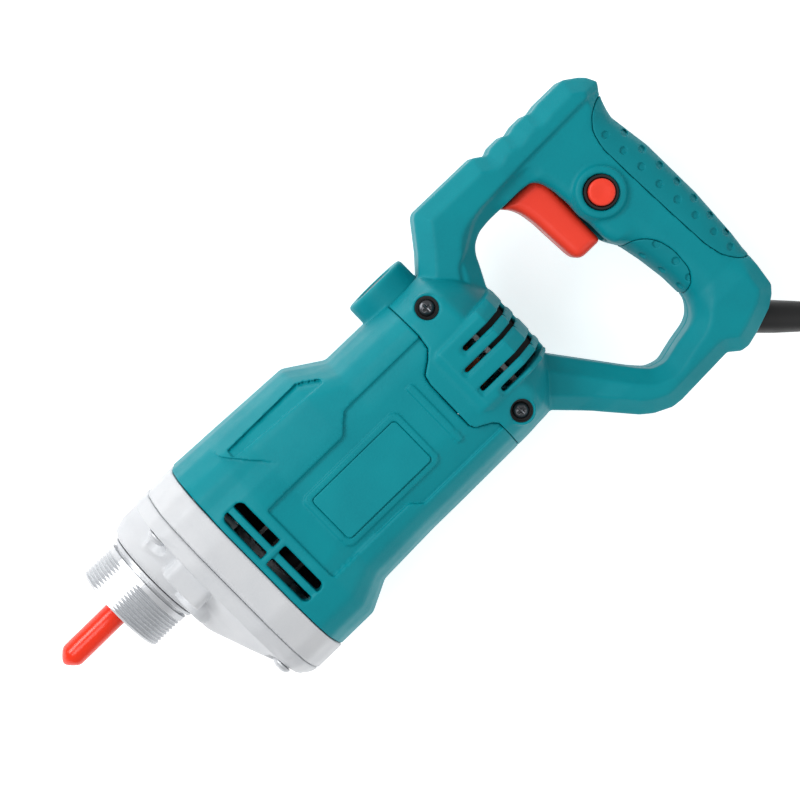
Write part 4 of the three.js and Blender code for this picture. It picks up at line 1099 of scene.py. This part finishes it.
# %% Threaded nose
NOSE_RADIUS = 22.5
THREAD_PITCH = 1.75
THREAD_DEPTH = 0.95
FLAT_TURN = math.radians(26.0)
FLAT_REACH = 21.0  # from the axis to each flat
FRONT_FACE, CHAMFER = -60.5, 1.1
NECK_AND_BORE = [(-41.9, 20.4), (-40.4, 20.4), (-40.3, 23.2), (-40.1, 23.4), (-39.0, 23.4),
                 (-38.8, 23.2), (-38.8, 11.3), (-37.2, 11.3), (-37.2, 10.2), (-44.3, 10.2),
                 (-44.3, 6.2), (-44.6, 6.2), (-46.0, 15.0), (-60.0, 15.0), (-60.5, 15.5)]


def thread_nose(sides=360):
    """The threaded coupling: a helical groove, a milled flat on two sides, a neck and a flange."""
    turn = np.arange(sides) * 2 * np.pi / sides
    flat = np.maximum(np.abs(np.cos(turn - (math.pi / 2 - FLAT_TURN))), 1e-3)
    rings = []
    for x in np.arange(FRONT_FACE, -41.99, 0.145):
        lead = min(1.0, max(0.0, (x - FRONT_FACE) / CHAMFER))
        rim = NOSE_RADIUS - CHAMFER * (1 - lead)
        run_out = ease((x + 59.6) / 0.8) * ease((-44.4 - x) / 0.8)
        phase = (x / THREAD_PITCH + turn / (2 * np.pi)) % 1.0
        groove = THREAD_DEPTH * run_out * np.clip(1.15 - 2.6 * np.abs(phase - 0.5), 0, 1)
        rings.append((x, np.minimum(rim - groove, FLAT_REACH / flat)))
    rings += NECK_AND_BORE
    rows = [np.stack([np.full(sides, x), r * np.cos(turn), r * np.sin(turn)], 1)
            for x, r in rings]
    points = np.concatenate(rows) + np.array([0, SPINDLE_Y, 0])
    count = len(rows)
    base = np.arange(count)[:, None] * sides + np.arange(sides)[None, :]
    after = np.roll(base, -1, 0)
    faces = np.stack([base, np.roll(base, -1, 1), np.roll(after, -1, 1), after], -1)
    piece = link_mesh("coupling_thread", place(points), faces.reshape(-1, 4))
    face_outwards(piece)
    piece.data.set_sharp_from_angle(angle=math.radians(35))
    print("coupling_thread:", len(piece.data.polygons), "faces")
    return piece


finish_piece(thread_nose(), "steel", "casing", "coupling_nose")

# %% [markdown]
# ## Brush caps
# A black screw cap closes each carbon brush's tube, so that a worn brush can be changed with a
# screwdriver or a coin. It has a slot across it and a fine ring round it.

# %% Brush caps


def brush_cap(name, radius, foot, face, node):
    """A cap between its foot, which is inside, and its outer face."""
    step = cell_size(0.3)
    low, high = sorted((foot, face))
    axes = grid((BRUSH_X - radius - 1, BRUSH_X + radius + 1), (low - 1, high + 1),
                (-radius - 1, radius + 1), step)
    x, y, z = axes
    body = keep(disc(x, z, (BRUSH_X, 0), radius), slab_between(y, low, high), 0.6)
    below_face = np.sign(face - foot) * (face - y)
    slot = np.maximum(plate(x, z, (BRUSH_X - 6.5, -1), (BRUSH_X + 6.5, 1), 0.4),
                      below_face - 1.5)
    ring = np.maximum(np.abs(disc(x, z, (BRUSH_X, 0), radius - 1.7)) - 0.25, below_face - 0.4)
    piece = surface(name, carve(carve(body, slot, 0.2), ring, 0.1), axes, step, 60000)
    return finish_piece(piece, "black_plastic", "casing", node)


brush_cap("brush_cap_top", 9.6, 45, 49.4, "brush_cap_upper")
brush_cap("brush_cap_bottom", 8.2, -40.6, -44.2, "brush_cap_lower")

# %% [markdown]
# ## Painted shade behind the louvres
# A black plate behind each side's louvres paints the shade inside the handle. A bridge joins the
# two plates behind the motor, so they are one piece.

# %% Painted shade behind the louvres


def louvre_screens():
    step = cell_size(0.5)
    axes = grid((136, 154), (-21.5, 13), (-22.5, 22.5), step)
    x, y, z = axes
    plates = keep(plate(x, y, (137.5, -20.3), (152.8, 11.8), 2.0),
                  slab_between(np.abs(z), 19.5, 21), 0.4)
    bridge = keep(plate(x, y, (150.5, -8), (152.5, 0), 0.5), np.abs(z) - 20)
    return surface("louvre_screens", join(plates, bridge, 0.3), axes, step, 40000)


# Painted shade: black plates stand for the dark inside seen through the louvres.
finish_piece(louvre_screens(), "black_plastic", "casing")

# %% [markdown]
# ## Screws
# The same pan-head screw with a cross recess is used again and again, so it is modelled once and
# Geometry Nodes puts a copy on each place. A linked copy would do for the picture, but a tree keeps
# all the screws of a kind in one piece. The tree's inputs are the screw, its size and its finish.

# %% One cross-head screw


def screw_mesh(name, head, height, length, shank):
    """A pan head with a cross recess, on a plain shank. The head's underside is at nought."""
    step = cell_size(0.2)
    axes = grid((-head - 1, head + 1), (-head - 1, head + 1), (-1, height + 1), step)
    x, y, z = axes
    crown = np.sqrt(x ** 2 + y ** 2 + (z + head * 1.6 - height) ** 2) - head * 1.6
    body = keep(keep(disc(x, y, (0, 0), head), -z), crown, 1.0)
    arm = np.maximum(np.abs(x) - 0.62, np.abs(y) - 2.7)
    cross = join(arm, np.maximum(np.abs(y) - 0.62, np.abs(x) - 2.7), 0.3)
    depth = height - 1.7 + 0.5 * np.sqrt(x ** 2 + y ** 2)
    body = carve(body, keep(cross, depth - z, 0.2), 0.15)
    head_piece = surface(name, body, axes, step, 14000)
    shape = bmesh.new()
    shape.from_mesh(head_piece.data)
    for v in shape.verts:
        v.co = (v.co - Vector(spot(0, 0, 0))) * 1000
    bmesh.ops.create_cone(shape, cap_ends=True, segments=20, radius1=shank, radius2=shank,
                          depth=length, matrix=Matrix.Translation((0, 0, -length / 2 - 0.02)))
    shape.to_mesh(head_piece.data)
    shape.free()
    head_piece.data.transform(Matrix.Scale(0.001, 4))
    return head_piece


# %% The tree that places them


def screw_tree():
    """Copies a screw onto each point, turned to the direction stored on the point."""
    tree = bpy.data.node_groups.new("Screws on points", "GeometryNodeTree")
    for label, way, kind in (("Geometry", "INPUT", "Geometry"), ("Screw", "INPUT", "Object"),
                             ("Size", "INPUT", "Float"), ("Finish", "INPUT", "Material"),
                             ("Geometry", "OUTPUT", "Geometry")):
        tree.interface.new_socket(name=label, in_out=way, socket_type="NodeSocket" + kind)
    source, sink = tree.nodes.new("NodeGroupInput"), tree.nodes.new("NodeGroupOutput")
    to_points = tree.nodes.new("GeometryNodeMeshToPoints")
    pick = tree.nodes.new("GeometryNodeObjectInfo")
    aim = tree.nodes.new("FunctionNodeAlignRotationToVector")
    aim.axis = "Z"
    direction = tree.nodes.new("GeometryNodeInputNamedAttribute")
    direction.data_type = "FLOAT_VECTOR"
    direction.inputs["Name"].default_value = "direction"
    copies = tree.nodes.new("GeometryNodeInstanceOnPoints")
    real = tree.nodes.new("GeometryNodeRealizeInstances")
    paint = tree.nodes.new("GeometryNodeSetMaterial")
    link = tree.links.new
    link(source.outputs["Geometry"], to_points.inputs["Mesh"])
    link(source.outputs["Screw"], pick.inputs["Object"])
    link(to_points.outputs["Points"], copies.inputs["Points"])
    link(pick.outputs["Geometry"], copies.inputs["Instance"])
    link(direction.outputs["Attribute"], aim.inputs["Vector"])
    link(aim.outputs["Rotation"], copies.inputs["Rotation"])
    link(source.outputs["Size"], copies.inputs["Scale"])
    link(copies.outputs["Instances"], real.inputs["Geometry"])
    link(real.outputs["Geometry"], paint.inputs["Geometry"])
    link(source.outputs["Finish"], paint.inputs["Material"])
    link(paint.outputs["Geometry"], sink.inputs["Geometry"])
    return tree


SCREW_TREE = screw_tree()
INPUTS = {s.name: s.identifier for s in SCREW_TREE.interface.items_tree if s.in_out == "INPUT"}
print("the tree's inputs are", list(INPUTS))


def screws(name, pattern, spots, directions, replaced, size=1.0, look="steel"):
    """One piece made of a copy of the pattern on each spot, pointing its head as told."""
    piece = link_mesh(name, place(spots), [])
    turns = piece.data.attributes.new("direction", "FLOAT_VECTOR", "POINT")
    turns.data.foreach_set("vector", np.asarray(directions, np.float32).ravel())
    copies = piece.modifiers.new("screws", "NODES")
    copies.node_group = SCREW_TREE
    copies[INPUTS["Screw"]] = pattern
    copies[INPUTS["Size"]] = size
    copies[INPUTS["Finish"]] = LOOKS[look]
    bake_modifiers(piece)
    piece.data.polygons.foreach_set("use_smooth", [True] * len(piece.data.polygons))
    piece.data.set_sharp_from_angle(angle=math.radians(40))
    print(name, len(piece.data.polygons), "faces")
    finish_piece(piece, look, "casing", *replaced, slot="steel")


# %% [markdown]
# ## Where the screws go
# Four long screws hold the gear cover, two on each flank join the handle to the motor, and two more
# close the handle. The ones on the flanks are blackened, and a black ring in each well paints its
# shade.

# %% Place the screws
large = screw_mesh("pattern_screw_large", 4.7, 3.0, 39.0, 2.0)
medium = screw_mesh("pattern_screw_medium", 4.4, 2.8, 20.3, 1.9)
small = screw_mesh("pattern_screw_small", 4.2, 2.6, 22.0, 1.5)
screws("gear_head_screws", large,
       [(-22.3, y, z) for y in (SCREW_Y, -SCREW_Y) for z in (SCREW_Z, -SCREW_Z)],
       [(-1, 0, 0)] * 4, [f"cover_screw_{i}" for i in (1, 2, 3, 4)])
screws("rear_screws", medium,
       [(x, y, s * 36.3) for s in (1, -1) for x, y in EARS],
       [(0, 0, 1)] * 2 + [(0, 0, -1)] * 2,
       [f"ear_screw_{hand}_{i}" for hand in ("left", "right") for i in (1, 2)],
       size=0.87, look="black_steel")
screws("handle_screws", small, [(232, 47.2, -14.3), (200.6, -71.8, -14.3)],
       [(0, 0, -1)] * 2, ["shell_screw_1", "shell_screw_2"])


# %% Painted shade in the screw wells


def screw_cups():
    """A black ring in each well of the rear screws, as painted shade round the head."""
    shade_rings = []
    for side, hand in SIDES:
        for (x, y), top in zip(EARS, (37.9, 38.6)):
            profile = [(36.03, 2.4), (36.03, 5.12), (top, 5.12), (top, 4.75), (36.26, 4.75),
                       (36.26, 2.4)]
            shade_rings.append(turned(f"cup_{hand}_{top}", [(side * h, r) for h, r in profile], 48,
                               at=(x, y, 0)))
    with bpy.context.temp_override(active_object=shade_rings[0], selected_editable_objects=shade_rings):
        bpy.ops.object.join()
    shade_rings[0].name = "screw_cups"
    return shade_rings[0]


# Painted shade: the black rings stand for the shade in the rear screws' wells.
finish_piece(screw_cups(), "black_plastic", "casing")
for pattern in (large, medium, small):
    bpy.data.objects.remove(pattern)

# %% [markdown]
# ## Rating plate
# The plate is a blank pressed label in the frame on the left flank, with soft corners. It is the
# housing's colour and stands a little proud, so a narrow groove shows round it.

# %% Rating plate
PLATE_STEP = cell_size(0.3)
axes = grid((35.5, 86.5), (-20.5, 5.5), (44, 45.8), PLATE_STEP)
x, y, z = axes
label = keep(plate(x, y, (36.3, -19.2), (85.7, 4.2), 2.0), slab_between(z, 44.55, 45.1), 0.15)
finish_piece(surface("rating_plate_label", label, axes, PLATE_STEP, 40000), "teal_plastic",
             "casing", "rating_plate")

# %% [markdown]
# ## Strain relief
# The strain relief tapers from the handle to the cord, with rings cut round it so that it bends
# little by little. It is turned about the cord's own heading, so the cord leaves it straight.

# %% Strain relief
RINGS, RING_STEP = 6, 4.2


def relief_profile():
    profile = [(-13, 0), (-13, 9.9), (-8, 9.9), (-8, 7.4), (6, 7.4), (16, 6.95)]
    for i in range(RINGS):
        s = 18.0 + i * RING_STEP
        body = np.interp(s, [5, 26, 45], [7.4, 6.5, 5.3])
        profile += [(s, body), (s + 0.3, body - 0.7), (s + 1.0, body - 0.75),
                    (s + 1.3, body - 0.05)]
    return profile + [(44.2, 5.35), (45.0, 4.8), (45.0, 0)]


relief = turned("strain_relief", relief_profile(), heading=CORD_HEADING, at=(*CORD_EXIT, 0))
finish_piece(relief, "black_rubber", "casing", "cord_boot")

# %% [markdown]
# ## Plug
# The plug is a soft moulding with finger grooves and two round pins. It is shaped along its own
# axis first and then turned and moved to where the cord ends, so its outline stays easy to read.

# %% Plug
PLUG_AT, PLUG_TURN = (388.5, 0.0), math.radians(120)
PLUG_HALF = 6.5  # half its thickness
PIN_START = 36.2
PLUG_STEP = cell_size(0.6)
PLUG_OUTLINE = [(0.3, -4.6), (14, -6), (17, -14), (22, -17.5), (33, -17.5), (36, -15),
                (36, 15), (33, 17.5), (22, 17.5), (17, 14), (14, 6), (0.3, 4.6)]


def plug_field():
    """The plug lying flat, with the cord coming in at nought and the pins pointing along X."""
    axes = grid((-1, 57), (-19, 19), (-1, 14), PLUG_STEP)
    x, y, z = axes
    side_view = flat_outline(PLUG_OUTLINE, axes, 2.0)
    flank = np.abs(z - PLUG_HALF) - PLUG_HALF
    bevel = (side_view + flank + 2.5) * BEVEL
    body = keep(keep(side_view, slab_between(z, 0.05, 12.95), 1.0), bevel, 1.5)
    for across in (-9.5, 9.5):
        pin = keep(disc(y, z, (across, PLUG_HALF), 2.3), slab_between(x, 30, 55), 0.8)
        body = join(body, pin)
    for groove in (18.5, 22, 25.5, 29):
        ring = np.maximum(np.abs(x - groove) - 0.5, -(np.maximum(side_view, flank) + 0.8))
        body = carve(body, ring, 0.3)
    return body, axes


def move_plug(piece):
    """Turns the plug's points and puts them at the cord's end, on the floor."""
    local = np.array([tuple(v.co) for v in piece.data.vertices]) * 1000 - SHIFT
    c, s = math.cos(PLUG_TURN), math.sin(PLUG_TURN)
    moved = np.stack([PLUG_AT[0] + c * local[:, 0] - s * local[:, 1],
                      PLUG_AT[1] + s * local[:, 0] + c * local[:, 1],
                      local[:, 2] - MIDDLE_HEIGHT], 1)
    piece.data.vertices.foreach_set("co", place(moved).astype(np.float32).ravel())
    piece.data.update()


# %% Finish the plug
plug = surface("plug_moulding", *plug_field(), PLUG_STEP, 60000)
plug_centres = [face.center.copy() for face in plug.data.polygons]
move_plug(plug)
finish_piece(plug, "black_rubber", "casing", "mains_plug")
plug.data.materials.append(LOOKS["steel"])
for face, centre in zip(plug.data.polygons, plug_centres):
    face.material_index = 1 if centre.x * 1000 - SHIFT[0] > PIN_START else 0
print("faces of the pins", sum(face.material_index for face in plug.data.polygons))

# %% The cord's facts
cord_curve.materials.append(LOOKS["black_rubber"])
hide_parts("power_cord", "cord_coil", "cord_tail")
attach(power_cord, "casing")

# %% [markdown]
# ## Floor and light
# A pale floor and broad soft lights show the shape without hard shadows. The main light stands
# on the tool's upper side. The floor glows a little, so it stays white and fills the shadows.

# %% Floor
FLOOR_HALF, FLOOR_TOP = 3.0, -0.0003
floor_mesh = bpy.data.meshes.new("floor")
floor_mesh.from_pydata([(a * FLOOR_HALF, b * FLOOR_HALF, FLOOR_TOP)
                        for a, b in ((-1, -1), (1, -1), (1, 1), (-1, 1))], [], [(0, 1, 2, 3)])
floor = bpy.data.objects.new("floor", floor_mesh)
bpy.context.scene.collection.objects.link(floor)
paper = bpy.data.materials.new("Pale floor")
paper.use_nodes = True
paper_shader = paper.node_tree.nodes["Principled BSDF"]
for socket, value in (("Base Color", (0.9, 0.9, 0.9, 1)), ("Roughness", 0.9),
                      ("Emission Color", (1, 1, 1, 1)), ("Emission Strength", 0.62)):
    paper_shader.inputs[socket].default_value = value
floor_mesh.materials.append(paper)
print("floor", 2 * FLOOR_HALF, "m across")

# %% Sky and lights
world = bpy.data.worlds.new("Studio")
world.use_nodes = True
world.node_tree.nodes["Background"].inputs["Color"].default_value = (1, 1, 1, 1)
world.node_tree.nodes["Background"].inputs["Strength"].default_value = 0.46
bpy.context.scene.world = world


def soft_light(name, at, aim, size, power):
    """A broad lamp at a place, turned to face another."""
    data = bpy.data.lights.new(name, "AREA")
    data.shape = "RECTANGLE"
    data.size, data.size_y = size
    data.energy = power
    lamp = bpy.data.objects.new(name, data)
    bpy.context.scene.collection.objects.link(lamp)
    lamp.location = at
    lamp.rotation_mode = "QUATERNION"
    lamp.rotation_quaternion = (Vector(aim) - Vector(at)).to_track_quat("-Z", "Y")
    print(name, power, "W")


TOOL_MIDDLE = (0.0, 0.0, 0.05)
soft_light("Key", (-0.35, 1.0, 0.95), TOOL_MIDDLE, (0.9, 0.5), 9.5)
soft_light("Fill", (0.5, -1.0, 0.9), TOOL_MIDDLE, (0.8, 0.8), 2.2)
soft_light("Top", (-0.5, 0.2, 1.5), TOOL_MIDDLE, (0.6, 0.6), 3.6)
bpy.context.scene.view_settings.view_transform = "Standard"
